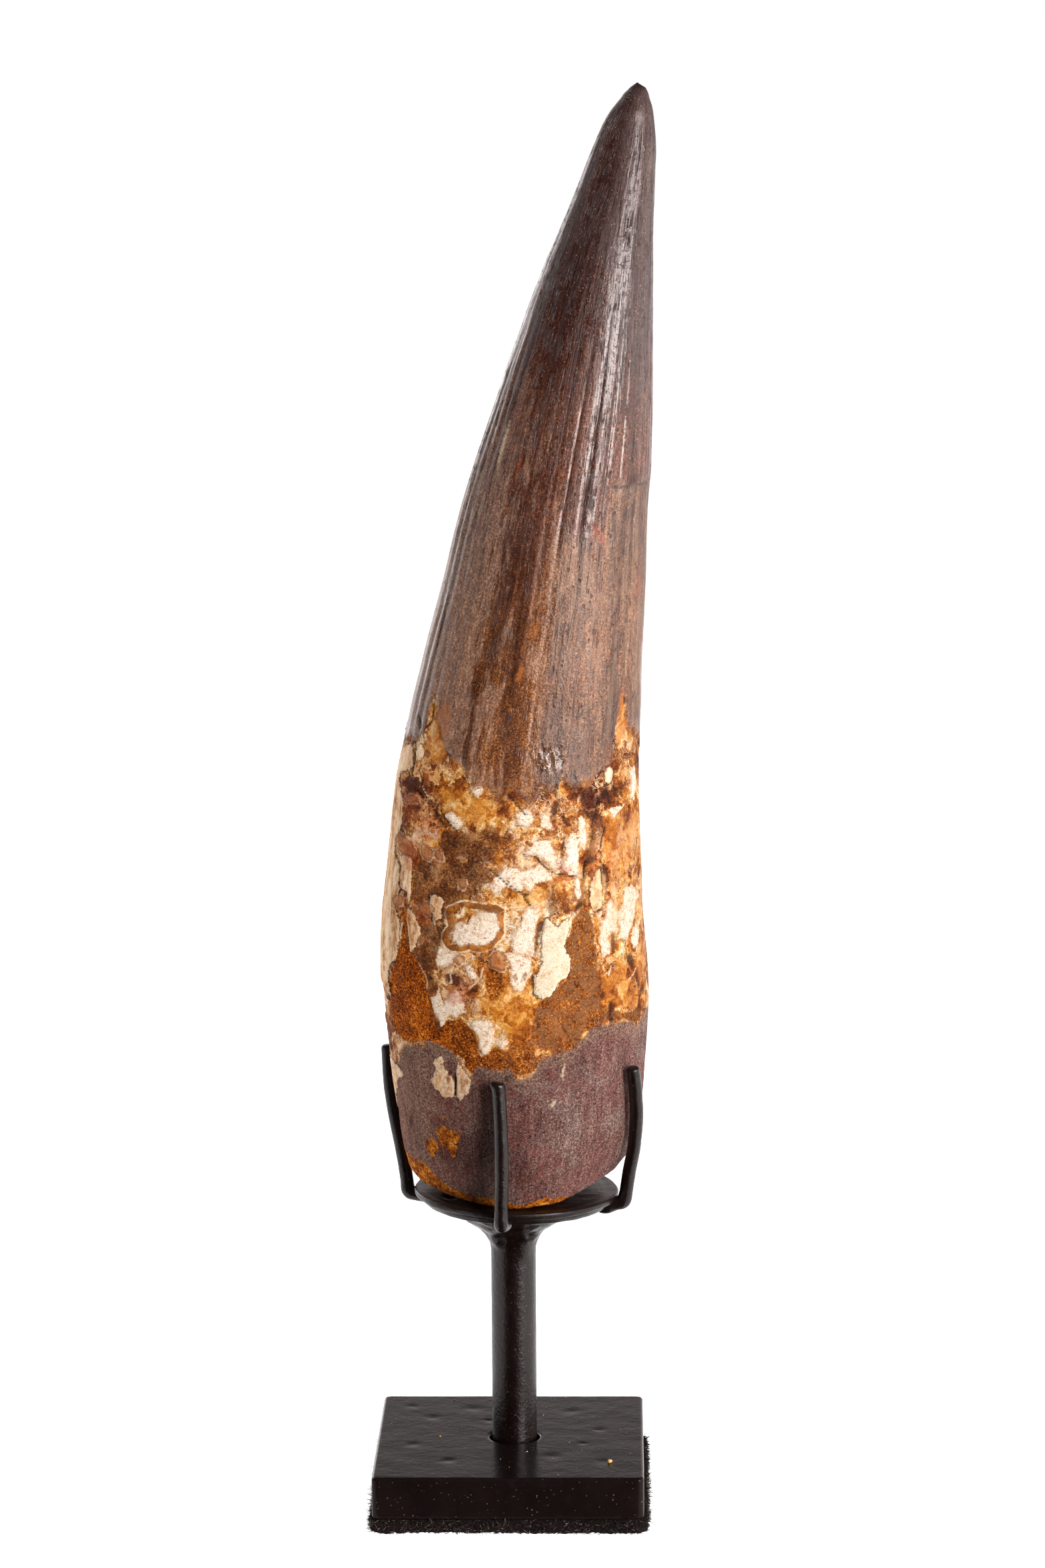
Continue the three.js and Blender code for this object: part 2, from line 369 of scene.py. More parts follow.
# ------------------------------------------------------------------ tooth: form
# height, left edge, right edge
EDGES = np.array([
    (209.5, 18.80, 20.32), (209.0, 18.42, 20.61), (208.6, 17.94, 20.80), (207.6, 17.17, 21.08),
    (206.7, 16.41, 21.37), (205.7, 15.64, 21.56), (203.8, 14.59, 21.75), (201.0, 13.34, 21.93),
    (197.2, 11.80, 21.80), (193.4, 10.25, 21.65), (187.7, 7.85, 21.46), (183.9, 6.17, 21.50),
    (179.1, 4.22, 21.44), (174.3, 2.46, 21.42), (169.5, 0.69, 21.41), (164.7, -0.98, 21.38),
    (159.9, -2.66, 21.30), (155.0, -4.35, 21.20), (150.2, -5.84, 20.72), (145.3, -7.20, 20.50),
    (140.4, -8.42, 20.36), (135.5, -9.68, 20.22), (130.6, -10.98, 19.99), (125.7, -12.26, 19.75),
    (120.8, -13.50, 19.62), (115.8, -14.60, 19.48), (110.9, -15.66, 19.54), (105.9, -16.45, 19.52),
    (100.9, -16.98, 19.68), (95.9, -17.56, 19.86), (90.9, -18.12, 20.02), (85.9, -18.53, 20.36),
    (80.8, -18.66, 20.80), (75.8, -18.20, 20.92), (70.7, -17.78, 20.66), (66.0, -17.28, 20.32),
    (61.5, -16.66, 19.98), (57.0, -16.15, 19.44), (53.8, -15.68, 18.42), (51.2, -15.05, 17.45)])[::-1]
# height, depth over width, centre of depth, roundness of the section
SECTION = np.array([
    (50.0, 0.860, 0.60, 1.50), (55.0, 0.860, 0.60, 1.60), (60.0, 0.865, 0.65, 1.70), (67.0, 0.860, 0.70, 1.80),
    (80.0, 0.840, 0.70, 1.95), (100.0, 0.830, 0.60, 2.00), (130.0, 0.840, 0.50, 2.00), (160.0, 0.870, 0.40, 2.00),
    (190.0, 0.920, 0.30, 2.00), (209.9, 0.970, 0.20, 2.00)])
TIP = (19.47, 0.2, 209.87)
DISC_TOP, DISC_X, DISC_Y, TILT = 47.0, 1.15, 0.45, math.radians(1.1)
SETTLE = 0.33                       # the broken bottom rests on the disc


def pchip(xs, ys, x):
    """monotone cubic through the stations"""
    xs, ys, x = (np.asarray(v, float) for v in (xs, ys, x))
    h = np.diff(xs)
    d = np.diff(ys) / h
    m = np.zeros_like(ys)
    for i in range(1, len(xs) - 1):
        if d[i - 1] * d[i] > 0:
            w1, w2 = 2 * h[i] + h[i - 1], h[i] + 2 * h[i - 1]
            m[i] = (w1 + w2) / (w1 / d[i - 1] + w2 / d[i])
    m[0], m[-1] = d[0], d[-1]
    k = np.clip(np.searchsorted(xs, x) - 1, 0, len(h) - 1)
    t = np.clip((x - xs[k]) / h[k], 0, 1)
    return (1 + 2 * t) * (1 - t) ** 2 * ys[k] + t * (1 - t) ** 2 * h[k] * m[k] \
        + t * t * (3 - 2 * t) * ys[k + 1] + t * t * (t - 1) * h[k] * m[k + 1]


PHI = np.radians(np.arange(720) * 0.5 - 90.0)      # from the front, turning towards +X


def ring_outline(a, b, n):
    r = ((np.abs(np.cos(PHI)) / a) ** n + (np.abs(np.sin(PHI)) / b) ** n) ** (-1.0 / n)
    if n < 1.99:
        g = np.exp(-0.5 * (np.arange(-24, 25) * 0.5 / 5.0) ** 2)
        g /= g.sum()
        r2 = np.convolve(np.concatenate([r[-24:], r, r[:24]]), g, "valid")
        r = r2 * (1 + (a / r2[180] - 1) * np.cos(PHI) ** 4)
    return r * np.cos(PHI), r * np.sin(PHI)


def by_arc(x, y, t):
    """points at arc fractions t: 0 front, 0.5 right, +-1 back, -0.5 left; and half the perimeter"""
    X, Y = np.append(x, x[0]), np.append(y, y[0])
    L = np.concatenate([[0], np.cumsum(np.hypot(np.diff(X), np.diff(Y)))])
    u = np.mod(np.asarray(t), 2.0) / 2.0 * L[-1]
    return np.interp(u, L, X), np.interp(u, L, Y), L[-1] / 2


def section_ring(z, t):
    xl, xr = pchip(EDGES[:, 0], EDGES[:, 1], z), pchip(EDGES[:, 0], EDGES[:, 2], z)
    k, cy, n = (float(pchip(SECTION[:, 0], SECTION[:, i], z)) for i in (1, 2, 3))
    a = float(xr - xl) / 2
    x, y = ring_outline(a, a * k, n)
    X, Y, half = by_arc(x, y, t)
    c2 = np.abs(X / a) ** n
    low = max(0.0, 1 - (z - 51.2) / 6)
    return np.stack([float(xl + xr) / 2 + X, cy + Y, z - low * 1.1 * (1 - np.minimum(c2, 1))], 1), half


def tooth_grid():
    t = np.concatenate([np.linspace(-0.53, 0.53, 232, endpoint=False), np.linspace(0.53, 1.47, 84, endpoint=False)])
    t = np.where(t > 1, t - 2, t)
    heights = np.concatenate([np.arange(51.2, 58, 0.5), np.arange(58, 124, 0.39),
                              np.arange(124, 206, 0.80), np.arange(206, 209.35, 0.32)])
    rings, zs, half = [], [], []
    # broken bottom: rings from the middle outwards, then up round the rim
    A, B, bx, by_, n = 15.15, 13.4, 1.1, 0.6, 1.5
    x, y = ring_outline(A, B, n)
    X, Y, hp = by_arc(x, y, t)
    side, hs = section_ring(51.2, t)
    for q, drop in ((0.16, 0), (0.34, 0), (0.52, 0), (0.68, 0), (0.82, 0), (0.93, 0), (0.985, 0.12), (1.005, 0.45)):
        z = 47.38 - SETTLE + drop + 1.9 * (q * X / A) ** 2
        rings.append(np.stack([bx + q * X, by_ + q * Y, z], 1))
        zs.append(47.4 + drop)
        half.append(hp * q)
    base = rings[-1]
    for f in (0.28, 0.52, 0.76):
        p = base * (1 - f) + side * f
        p[:, :2] += (side - base)[:, :2] * 0.18 * math.sin(math.pi * f)
        rings.append(p)
        zs.append(47.9 + (51.2 - 47.9) * f)
        half.append(hp * (1 - f) + hs * f)
    for z in heights:
        p, h = section_ring(z, t)
        rings.append(p)
        zs.append(z)
        half.append(h)
    cols, rows = len(t), len(rings)
    V = np.vstack(rings + [np.array([TIP]), np.array([[bx, by_, 47.38 - SETTLE]])])
    F = grid_faces(rows, cols).tolist()
    F += fan(list(range(cols)), len(V) - 1, flip=True)
    F += fan(list(range((rows - 1) * cols, rows * cols)), len(V) - 2)
    T = np.concatenate([np.tile(t, rows), [0, 0]])
    Z = np.concatenate([np.repeat(zs, cols), [TIP[2], 47.4]])
    H = np.concatenate([np.repeat(half, cols), [0.5, 0.5]])
    return V, F, T, Z, H * T, H


# ------------------------------------------------------------------ tooth: markings
# outlines on the surface, mm: distance round from the front line (right is positive), height
AREAS = {
    'white': [
        [(-8.3, 90.4), (-7.3, 90.4), (-6.2, 90.6), (-5.9, 91.3), (-4.7, 91.7), (-3.4, 92.6), (-2.1, 92.6),
         (-1.5, 91.4), (-1.5, 89.9), (-1.6, 88.7), (-2.3, 87.7), (-3.5, 87.1), (-5.3, 87), (-7, 87.1), (-8.4, 87.4),
         (-8.9, 88.2), (-8.3, 89.2)],
        [(1.5, 100.8), (2.6, 101.9), (3.4, 102.4), (5, 102.3), (5.8, 101.1), (6.1, 99.6), (6.3, 98.1), (5.5, 98.6),
         (4.4, 99.7), (2.9, 100.3), (1.9, 100.3)],
        [(1, 98), (3, 98.7), (4.1, 98.8), (5.3, 97.8), (5.9, 96.9), (5, 96.4), (3.5, 96.2), (2.8, 94.9),
         (1.7, 95.7), (1.1, 96.7)],
        [(7.6, 102.2), (8.4, 103.1), (9.2, 103.2), (9.5, 101.8), (9.7, 99.8), (10, 98.3), (9.6, 97.2), (8.8, 96.9),
         (7.5, 97.8), (7.1, 98.8), (7.9, 99.5), (7.6, 100.9)],
        [(-3.1, 96), (-2.3, 97.4), (-1.5, 98.2), (-0.4, 98.6), (0.6, 98.5), (1.6, 97.8), (1.9, 96.4), (1.4, 94.9),
         (0.2, 95.4), (-1.1, 96.1), (-1.7, 95.1), (-2.7, 94.9)],
        [(1.6, 91.5), (2.2, 92.5), (4, 92.7), (4.3, 91.5), (3.8, 90.5), (3.3, 89.1), (3.3, 86.6), (3.3, 85.6),
         (2.3, 85.7), (1.3, 86), (0.1, 86.8), (0.4, 88.6), (1.3, 90.1)],
        [(-11.4, 84.4), (-10.8, 86.5), (-9.9, 86.2), (-8.6, 85.8), (-7.5, 85.9), (-8.4, 84.9), (-9.1, 84.1),
         (-10, 83.6), (-11.1, 83.7)],
        [(-0.7, 86), (0.4, 86.6), (1.7, 85.9), (2.9, 85.1), (3.1, 84), (2.7, 83.1), (2.2, 81.9), (1.5, 80.8),
         (0.5, 80.8), (-0, 81.7), (-0.4, 83.1), (-0.2, 84.6)],
        [(18.9, 94.2), (20.9, 94.1), (22.9, 93.1), (23.2, 92.1), (22.1, 91.3), (21.3, 90.5), (21.8, 89.4),
         (20.9, 88.6), (20, 87.5), (19.3, 86.4), (18.5, 86.4), (17.4, 87.2), (18.1, 88.1), (17.2, 88.9), (17, 89.9),
         (17.7, 91.1), (18.3, 92.4), (18.3, 93.4)],
        [(14.7, 91.8), (15.6, 92.7), (16.5, 91.7), (17.3, 90.6), (17, 89.2), (17.4, 87.9), (16.9, 87.8),
         (15.9, 88.1), (15.2, 87.1), (15.7, 86), (15.4, 84.9), (14.3, 84.6), (13.9, 85.5), (13.7, 86.8),
         (13.5, 88.3), (14.1, 89.6), (14.7, 90.5)],
        [(-6.7, 109.9), (-5.9, 110.3), (-4.6, 110.3), (-4.9, 109.3), (-5.2, 108.5), (-5.9, 108.7)],
        [(14.8, 106.2), (15.6, 104.7), (16.5, 105.3), (18.2, 106.3), (19.1, 106.7), (17.6, 106.5), (16, 106.3)],
        [(12.9, 91.1), (14.3, 91.5), (13.7, 90.3), (12.9, 90.3)],
        [(19.2, 111.7), (21.2, 111.4), (22.2, 108.8), (20.6, 106.9), (19.7, 107.3), (19.9, 109.2)],
        [(9.4, 105.4), (10.1, 105.9), (10.7, 104.7), (10.9, 101.9), (10.6, 100.7), (10, 101.2), (9.6, 103.2)],
        [(-6.6, 83.9), (-6, 84.5), (-5.5, 83.6), (-5, 82.6), (-5.9, 82.2), (-6.4, 82.8)],
        [(0.3, 106.3), (1.3, 107.1), (2.5, 106.8), (2.6, 105.3), (1.8, 104.6), (0.6, 105)],
        [(3.7, 106.3), (4.8, 106.6), (5.3, 105.2), (5.9, 104), (4.9, 103.9), (3.9, 104.7)],
        [(-10.5, 105.6), (-9.4, 106.4), (-8.1, 105.5), (-7.5, 104.8), (-8.2, 103.7), (-9.1, 104)],
        [(9.2, 96.3), (9.8, 96.6), (10.1, 95.4), (10.4, 93.9), (9.8, 93.5), (9.4, 94.5)],
        [(21.9, 88.4), (23.1, 87.2), (22.6, 85.3), (21, 84.7), (20.3, 86), (20.8, 87.3)],
        [(-12.7, 78.8), (-11.7, 79.5), (-11.1, 80.6), (-10.9, 79.3), (-10.5, 78.5), (-9.8, 78.9), (-9.2, 79.9),
         (-8.4, 80.6), (-7.8, 80.1), (-7.2, 79.1), (-7.1, 77.9), (-7, 77.1), (-8, 77), (-8.9, 76.2), (-9.6, 76.5),
         (-10.5, 75.8), (-11.3, 74.7), (-11.6, 75.9), (-12.4, 76.6), (-12.4, 77.8)],
        [(-6.4, 75.6), (-5.5, 75.9), (-4.6, 76.1), (-3.8, 76.4), (-3.2, 75.7), (-3, 74.4), (-2.9, 73.2),
         (-3.4, 72.4), (-3.8, 71.3), (-4.6, 71), (-5.2, 71.7), (-5.4, 73.1), (-5.6, 74.2), (-6.2, 74.7)],
        [(-2.7, 72.8), (-2.2, 73.4), (-2, 74.4), (-1.5, 73.7), (-0.9, 73.2), (-1.2, 72.4), (-1.8, 71.7), (-2.2, 72.3)],
    ],
    'pale': [
        [(5, 91.1), (6, 90.4), (6.8, 89.6), (7.7, 90.6), (8.4, 90.9), (8.5, 89.5), (8.4, 88.3), (7.8, 87.1),
         (8.1, 85.7), (8.6, 84.9), (8.7, 83.4), (8.2, 82.2), (6.8, 81.6), (6.2, 80.5), (5.6, 79.7), (4.5, 79.3),
         (3.8, 79.3), (3.2, 80.5), (3.1, 82.1), (3.9, 83.2), (4.4, 84.6), (4.4, 86.1), (4.7, 87.5), (4.7, 89.5)],
    ],
    'tan': [
        [(-27, 119), (-25, 113.5), (-18.9, 115.4), (-18.2, 113.9), (-18.3, 112.1), (-19.3, 111.2), (-22.1, 110.6),
         (-22.1, 109.2), (-20.3, 107.8), (-19.2, 106.4), (-19.5, 104), (-20.4, 101.7), (-21.5, 100.6),
         (-21.1, 98.7), (-19.5, 97.2), (-19.1, 93.4), (-20.4, 91), (-18.8, 89.5), (-18.7, 86.4), (-19.5, 84.5),
         (-20.3, 83.4), (-22.1, 82), (-22.6, 80), (-22.1, 77), (-23.9, 78.5), (-27.3, 78.9), (-28.5, 80),
         (-29.5, 100), (-27.5, 116)],
        [(-19.5, 98.5), (-18.6, 99), (-16.6, 99.2), (-16.3, 97.7), (-16.2, 95.5), (-16.3, 92.8), (-16.8, 92.1),
         (-17.1, 93.7), (-18.1, 94), (-19, 94.3), (-18.9, 97.3)],
        [(-16.8, 91.9), (-15.7, 91.1), (-14.9, 90.1), (-14.1, 88.7), (-14.4, 87.7), (-15.4, 86.1), (-16.1, 85.2),
         (-16.6, 87.4), (-16.8, 89.3)],
        [(-12.6, 93.8), (-11.5, 94.2), (-10.7, 93.7), (-10, 93), (-10.7, 91.7), (-10.4, 90.8), (-11.3, 90.3),
         (-11.7, 89.6), (-12, 90.6)],
        [(-13.8, 66.1), (-13, 67.1), (-12.4, 68.2), (-11.6, 68.8), (-10.9, 68.2), (-10.4, 67.5), (-9.6, 67.4),
         (-9.4, 66.8), (-9.6, 64.4), (-10.4, 64.1), (-11.6, 63.9), (-12.2, 64.6), (-13.1, 65.1)],
        [(-9.2, 67.6), (-8.9, 68.5), (-8.6, 69.5), (-8.2, 69.2), (-7.7, 68.5), (-7.2, 67.9), (-6.7, 67.1),
         (-6.8, 66.1), (-7.2, 65), (-8, 64.3), (-8.5, 63.8), (-9.1, 64.4), (-9.2, 66.3)],
        [(-13.1, 69), (-12.3, 69.7), (-11.3, 70.2), (-11.1, 69.3), (-11.7, 68.7), (-12.7, 68.3)],
        [(-25.8, 67.5), (-22.2, 66.8), (-20.7, 66.3), (-20.3, 65.8), (-22.2, 64.7), (-23.1, 63.3), (-24.4, 61.8),
         (-25.5, 59.5), (-26, 70), (-26.5, 74)],
        [(-10.7, 115.2), (-9.9, 115.5), (-9.4, 115.1), (-10, 114.7), (-10.6, 114.8)],
        [(-17.6, 114), (-16.6, 115.5), (-15.5, 114.4), (-15.8, 113.4), (-16.7, 113.1)],
        [(13.4, 111.9), (14.1, 112.4), (15.1, 111.8), (15.2, 110.6), (14.6, 110), (13.8, 110.3)],
        [(12.1, 96.4), (12.7, 97.3), (13.3, 97.7), (13.7, 96.5), (13.9, 95), (13.9, 93.1), (14.1, 92), (12.9, 91.4),
         (12.2, 91.9), (11.9, 93.3), (11.7, 94.8)],
    ],
    'ochre': [
        [(-4.2, 80.3), (-2.3, 80.9), (-0.3, 80.6), (2.1, 80.5), (2.8, 79.3), (2.9, 77.8), (2.6, 76.4), (1.7, 74.4),
         (1.2, 73.1), (-0, 73.4), (-1, 73.9), (-1.9, 74.9), (-2.9, 76.2), (-3.8, 77.1), (-4.7, 78.5)],
        [(13.9, 82.3), (15.4, 81.6), (16.8, 83.9), (18.3, 83.6), (18.9, 80.6), (20.6, 79.8), (21.8, 78), (21.6, 76),
         (19.4, 76), (16.4, 77), (14.8, 78.2), (14, 79.4), (13.5, 80.9)],
        [(3.3, 95.8), (4.5, 96), (5, 94.8), (5.1, 92.9), (4.7, 91.7), (3.2, 92.7), (1.7, 93.3), (0.7, 94.2),
         (2.1, 94.7)],
        [(6.5, 96.9), (8, 97), (9.2, 96.5), (9.1, 95), (8.6, 94.1), (7.6, 93.5), (6.9, 94.2), (6.3, 95.7)],
        [(13.6, 103.3), (14.8, 104.4), (16.6, 104.9), (19, 105.5), (22.9, 104.3), (23.1, 101.8), (21.2, 99.7),
         (19.9, 97), (17.6, 95.5), (15.5, 94.8), (15.2, 97.3), (14, 99.4), (13.6, 101.4)],
        [(-3.1, 101.9), (-2.5, 102.6), (-2, 101.2), (-1.3, 99.8), (-1.9, 98.6), (-2.7, 99.5)],
        [(-11.5, 109.1), (-9.5, 109.8), (-7.3, 109.6), (-6.6, 108.5), (-4.7, 108.4), (-3, 107.9), (-2.5, 106),
         (-3.5, 104.7), (-5.2, 104.5), (-7, 105.2), (-8.1, 106.1), (-10.1, 106.5), (-11.1, 107.5)],
        [(23.6, 86.1), (26.3, 84.1), (26.2, 81.6), (24.3, 79.5), (22.5, 78.9), (21.9, 82), (22.5, 84.4)],
        [(-15.9, 121.4), (-14.8, 122.4), (-13.8, 121), (-12.7, 118.9), (-11.8, 117), (-11.1, 115.2), (-11.7, 113.7),
         (-12.7, 112.6), (-14, 113.5), (-15, 115.5), (-15.4, 118.1)],
        [(17.4, 117), (19.5, 117.1), (20.1, 116.2), (18.4, 115.5), (17.2, 116.1)],
        [(15.2, 117.1), (15.4, 119.5), (15.9, 122), (16.8, 120.7), (16.9, 117.8), (17, 114.9), (16.1, 114.1)],
    ],
    'sand': [
        [(-17.7, 91), (-17.1, 91.1), (-16.8, 88.3), (-16.2, 86.5), (-15.6, 84.9), (-14.2, 83.1), (-13.3, 81.7),
         (-13.4, 80), (-12.9, 78.9), (-12.4, 77.6), (-12.6, 76.1), (-12.1, 74.6), (-11.6, 74.2), (-11.5, 72.7),
         (-14.1, 72), (-17, 71.5), (-19.9, 71.3), (-22, 72.7), (-23.1, 75.6), (-22.6, 78.9), (-21.9, 81.3),
         (-20.1, 83.2), (-19.1, 85), (-18.4, 87.6), (-18.1, 89.4)],
        [(-14.1, 73.1), (-11.9, 74.1), (-10.9, 75.6), (-9.2, 76), (-8.1, 76.2), (-7.1, 75.6), (-6.3, 74.7),
         (-5.6, 73.7), (-5.4, 71.7), (-5, 70.7), (-2.7, 72.2), (-1.2, 71.6), (0.7, 72.9), (2.7, 72.6), (3.1, 70.4),
         (2.1, 68.2), (0.1, 67.9), (-2.9, 68.8), (-6.8, 67.7), (-8.4, 69.8), (-10.8, 71.4), (-13.5, 72.2)],
        [(11.4, 92.2), (10.5, 91.9), (9.2, 91), (8.9, 89.2), (8.2, 87.3), (8.2, 85.4), (9, 83.9), (8.4, 82.2),
         (6.8, 81.3), (5.4, 79.4), (3.7, 79), (3, 77.3), (2.5, 74.9), (2.2, 72.4), (4.6, 71.5), (7.7, 71.2),
         (9.8, 72.1), (10.4, 73.6), (11.6, 74.2), (13.8, 74.7), (13.9, 76.9), (13.7, 78.4), (13.5, 80.9),
         (13.2, 84.4), (12.9, 87.4), (12.6, 89.8)],
        [(13.9, 76.9), (16.4, 76.5), (19.4, 75.5), (21.6, 75.8), (22.8, 74.8), (21.3, 73.5), (17.8, 74.7),
         (14.4, 74.8)],
        [(-3.6, 84), (-2.1, 84.4), (-1.5, 83.3), (-1.3, 81.3), (-2, 79.4), (-3.3, 79.1), (-3.9, 80.8)],
    ],
    'grey': [
        [(-15.9, 98), (-12.3, 98.7), (-10, 98.7), (-7.9, 99.4), (-5.3, 98.9), (-3.5, 98.4), (-3, 97), (-4.7, 95.8),
         (-5.7, 95.2), (-6.6, 94.3), (-7.6, 93.6), (-9.2, 93), (-10.9, 93.8), (-13.2, 93.9), (-15, 93), (-16, 94.8)],
        [(-10.7, 103.2), (-8, 103.8), (-5, 104), (-2.5, 104.4), (-1.8, 103.1), (-2, 101.5), (-2.9, 99.7),
         (-5.3, 99.5), (-7.9, 99.7), (-10.2, 99.3), (-11.2, 101.2)],
        [(-14.1, 89.6), (-11.9, 89.5), (-10.2, 90.4), (-9.5, 89.2), (-10.4, 87.7), (-10.9, 85.7), (-11.8, 84.1),
         (-12.1, 82.4), (-11.6, 80.9), (-12.5, 79.6), (-13.2, 81.5), (-14.2, 83.5), (-15.7, 84.9), (-14.1, 87.1)],
        [(11.2, 103.1), (12, 103.8), (12.5, 102), (12.2, 100.1), (11.4, 99.2), (11.3, 97.2), (10.9, 95.3),
         (11.4, 93.3), (11.3, 92), (9.9, 91.8), (9, 91.9), (9.5, 93.5), (10.2, 94.9), (10.3, 97.3), (10.7, 99.2),
         (11.1, 101.1)],
        [(5.2, 94.3), (5.8, 95.5), (6.5, 94.7), (6.7, 92.8), (6.4, 91.3), (5.7, 91.1), (5.1, 92.4)],
        [(11, 80.7), (11.7, 82.6), (12.4, 81.1), (11.8, 78.7), (11, 76.7), (10.7, 78.8)],
        [(6.6, 77.1), (7.5, 78.1), (7.7, 76.1), (7, 75.1), (6.3, 75.7)],
    ],
    'dark': [
        [(-20, 110.2), (-18, 110.8), (-16.2, 110.5), (-15.7, 109.4), (-16.5, 108.3), (-18.1, 107.9), (-19.7, 108.5),
         (-20.7, 109.3)],
        [(-13.1, 106.4), (-11.9, 105.8), (-11.1, 104.7), (-10.4, 103.6), (-11.3, 104.1), (-12.6, 105.1)],
        [(-19.9, 110.6), (-18.9, 110.9), (-18.1, 110.3), (-17.8, 109.2), (-18.2, 108.4), (-18.6, 107.7),
         (-19.4, 108.4), (-20.1, 109.4)],
        [(-17, 109), (-15.8, 109), (-15.1, 108.6), (-14.2, 108.2), (-13, 107.6), (-11.9, 107), (-12.2, 106.6),
         (-13.1, 107), (-14.3, 107.6), (-15.6, 108), (-16.6, 108.4)],
        [(-16.3, 111.2), (-15.4, 111.1), (-14.9, 110.3), (-15.3, 109.1), (-16, 109.4), (-15.8, 110.4)],
        [(9.1, 109.9), (10.5, 110), (11.7, 109.8), (12.6, 108.7), (12.6, 107.3), (11.7, 106.4), (11, 105.8),
         (10.3, 106.7), (9.6, 107.8), (9.1, 109)],
        [(5.4, 110.3), (6, 110.1), (6.3, 108.3), (6.5, 107.1), (6.2, 106.2), (5.8, 105.6), (6, 104.1), (5.5, 104.8),
         (5.1, 106), (5.2, 107.4), (5.8, 108.3), (5.4, 109.3)],
        [(16.7, 108.4), (17.7, 108.7), (18.3, 108), (17.8, 107.4), (17, 107.6)],
        [(13.7, 107.5), (14.4, 107.6), (14.7, 107), (14, 106.8)],
        [(-2, 104), (-1.3, 103.2), (-0.7, 102.5), (-1, 102.1), (-1.7, 102.8)],
        [(14.2, 98.1), (15.1, 97.5), (15.3, 95.3), (15, 94), (14.5, 94.2), (14.6, 95.9), (13.9, 97.4)],
        [(-6.5, 95.2), (-5.3, 95.6), (-4.5, 95), (-5.2, 94.3), (-6.2, 94.4)],
        [(-17.9, 106.5), (-16.2, 106.8), (-14.9, 106.7), (-15, 106), (-16.4, 105.7), (-18, 105.9)],
        [(7.1, 102.8), (7.8, 103.1), (7.6, 101.6), (7.3, 100), (7, 99.3), (6.9, 101)],
        [(9.5, 92.4), (10.2, 93.3), (11, 93.1), (10.7, 92.3), (9.9, 91.7), (9.3, 91.6)],
        [(16, 87.9), (16.9, 87.5), (17, 86.3), (16.5, 84.9), (16, 85.2), (15.9, 86.5)],
        [(19.3, 84.4), (20.9, 84.1), (21.6, 82.7), (20.7, 81.7), (19.8, 82.4), (19.2, 83.3)],
        [(12.4, 115.7), (13.2, 116), (14.1, 114.8), (13.9, 112.9), (13.2, 112), (12.7, 113.5)],
        [(-10.5, 82.4), (-9.2, 82.9), (-7.7, 82.4), (-7.5, 81.1), (-8.8, 80.6), (-9.9, 81.3)],
        [(15, 77.7), (15.8, 78.1), (15.9, 76.6), (16, 75), (15.3, 74.1), (14.8, 75.4), (15.1, 76.4)],
        [(3.8, 90.5), (4.6, 91.1), (5, 90.7), (4.6, 89.4), (4.1, 88.1), (3.8, 86.6), (3.4, 85.6), (3.4, 87.1),
         (3.6, 88.9)],
    ],
    'knot': [
        [(-14.8, 101), (-14.2, 101.6), (-13.3, 101.2), (-12.4, 100.6), (-12.1, 99.7), (-12.5, 99.1), (-13.1, 98.8),
         (-13.9, 99), (-14.6, 99.8)],
        [(-12, 100.5), (-11.2, 100.8), (-10.4, 99.9), (-10.4, 99.1), (-11.4, 99.1), (-12, 99.7)],
        [(-14.8, 92.3), (-13.8, 92.8), (-12.6, 92.9), (-11.5, 92.4), (-11.4, 91.7), (-12.2, 91.1), (-13.4, 90.8),
         (-14.4, 91.2)],
        [(-21.1, 92.5), (-19.1, 93.3), (-17.8, 92.8), (-17.9, 91.8), (-19.3, 91.2), (-20.7, 91.5)],
        [(-14.8, 87.4), (-14.2, 87.8), (-13.6, 87.4), (-13.8, 86.7), (-14.6, 86.5)],
        [(-8.2, 96.4), (-7.6, 96.7), (-6.7, 96.6), (-6.5, 95.7), (-7.1, 95.1), (-7.8, 95.3)],
        [(-21.6, 101.1), (-20.2, 102.1), (-17.8, 101.7), (-16.4, 101.3), (-15.7, 100.2), (-16.2, 98.8),
         (-18.2, 98.9), (-20.5, 99.5)],
        [(-3.2, 85.5), (-2.3, 86.6), (-1.4, 86.6), (-0.6, 85.6), (-0.5, 84.5), (-1, 83.5), (-2.1, 83.7), (-3.1, 84)],
        [(1.6, 83), (2.1, 83.4), (2.4, 82.8), (2, 82), (1.7, 82.2)],
        [(0.1, 83), (0.6, 83.3), (0.9, 82.6), (0.6, 81.9), (0.2, 82.2)],
        [(-19.6, 107.2), (-18.1, 108), (-16.4, 108.2), (-15.3, 107.6), (-15.4, 107), (-17.2, 106.6), (-19.1, 106.6)],
        [(-5.8, 93.8), (-5.2, 94.6), (-4.5, 94.6), (-4, 93.9), (-4.8, 93.4)],
        [(-9.2, 69.4), (-8.8, 70.3), (-7.9, 70.2), (-7.9, 69.3), (-8.4, 69)],
        [(-8.7, 67.7), (-8.2, 68.4), (-7.6, 67.8), (-7.5, 67.1), (-8.3, 66.9), (-8.7, 67.2)],
        [(-8.6, 85.3), (-7.8, 85.9), (-6.7, 85.6), (-6.6, 84.7), (-7.6, 84), (-8.7, 84.4)],
    ],
    'ring': [
        [(-9.6, 92.4), (-9.8, 91.1), (-9.4, 90), (-10.2, 88.8), (-10.3, 87.7), (-9.9, 86.7), (-8.8, 86.2),
         (-7.3, 86.2), (-6, 86.6), (-4.5, 86.2), (-2.7, 86.8), (-1.6, 87.9), (-0.9, 89.1), (-1, 91), (-1, 92.5),
         (-2.1, 93.2), (-4.6, 93.3), (-6.6, 93.5), (-8.1, 93.1)],
    ],
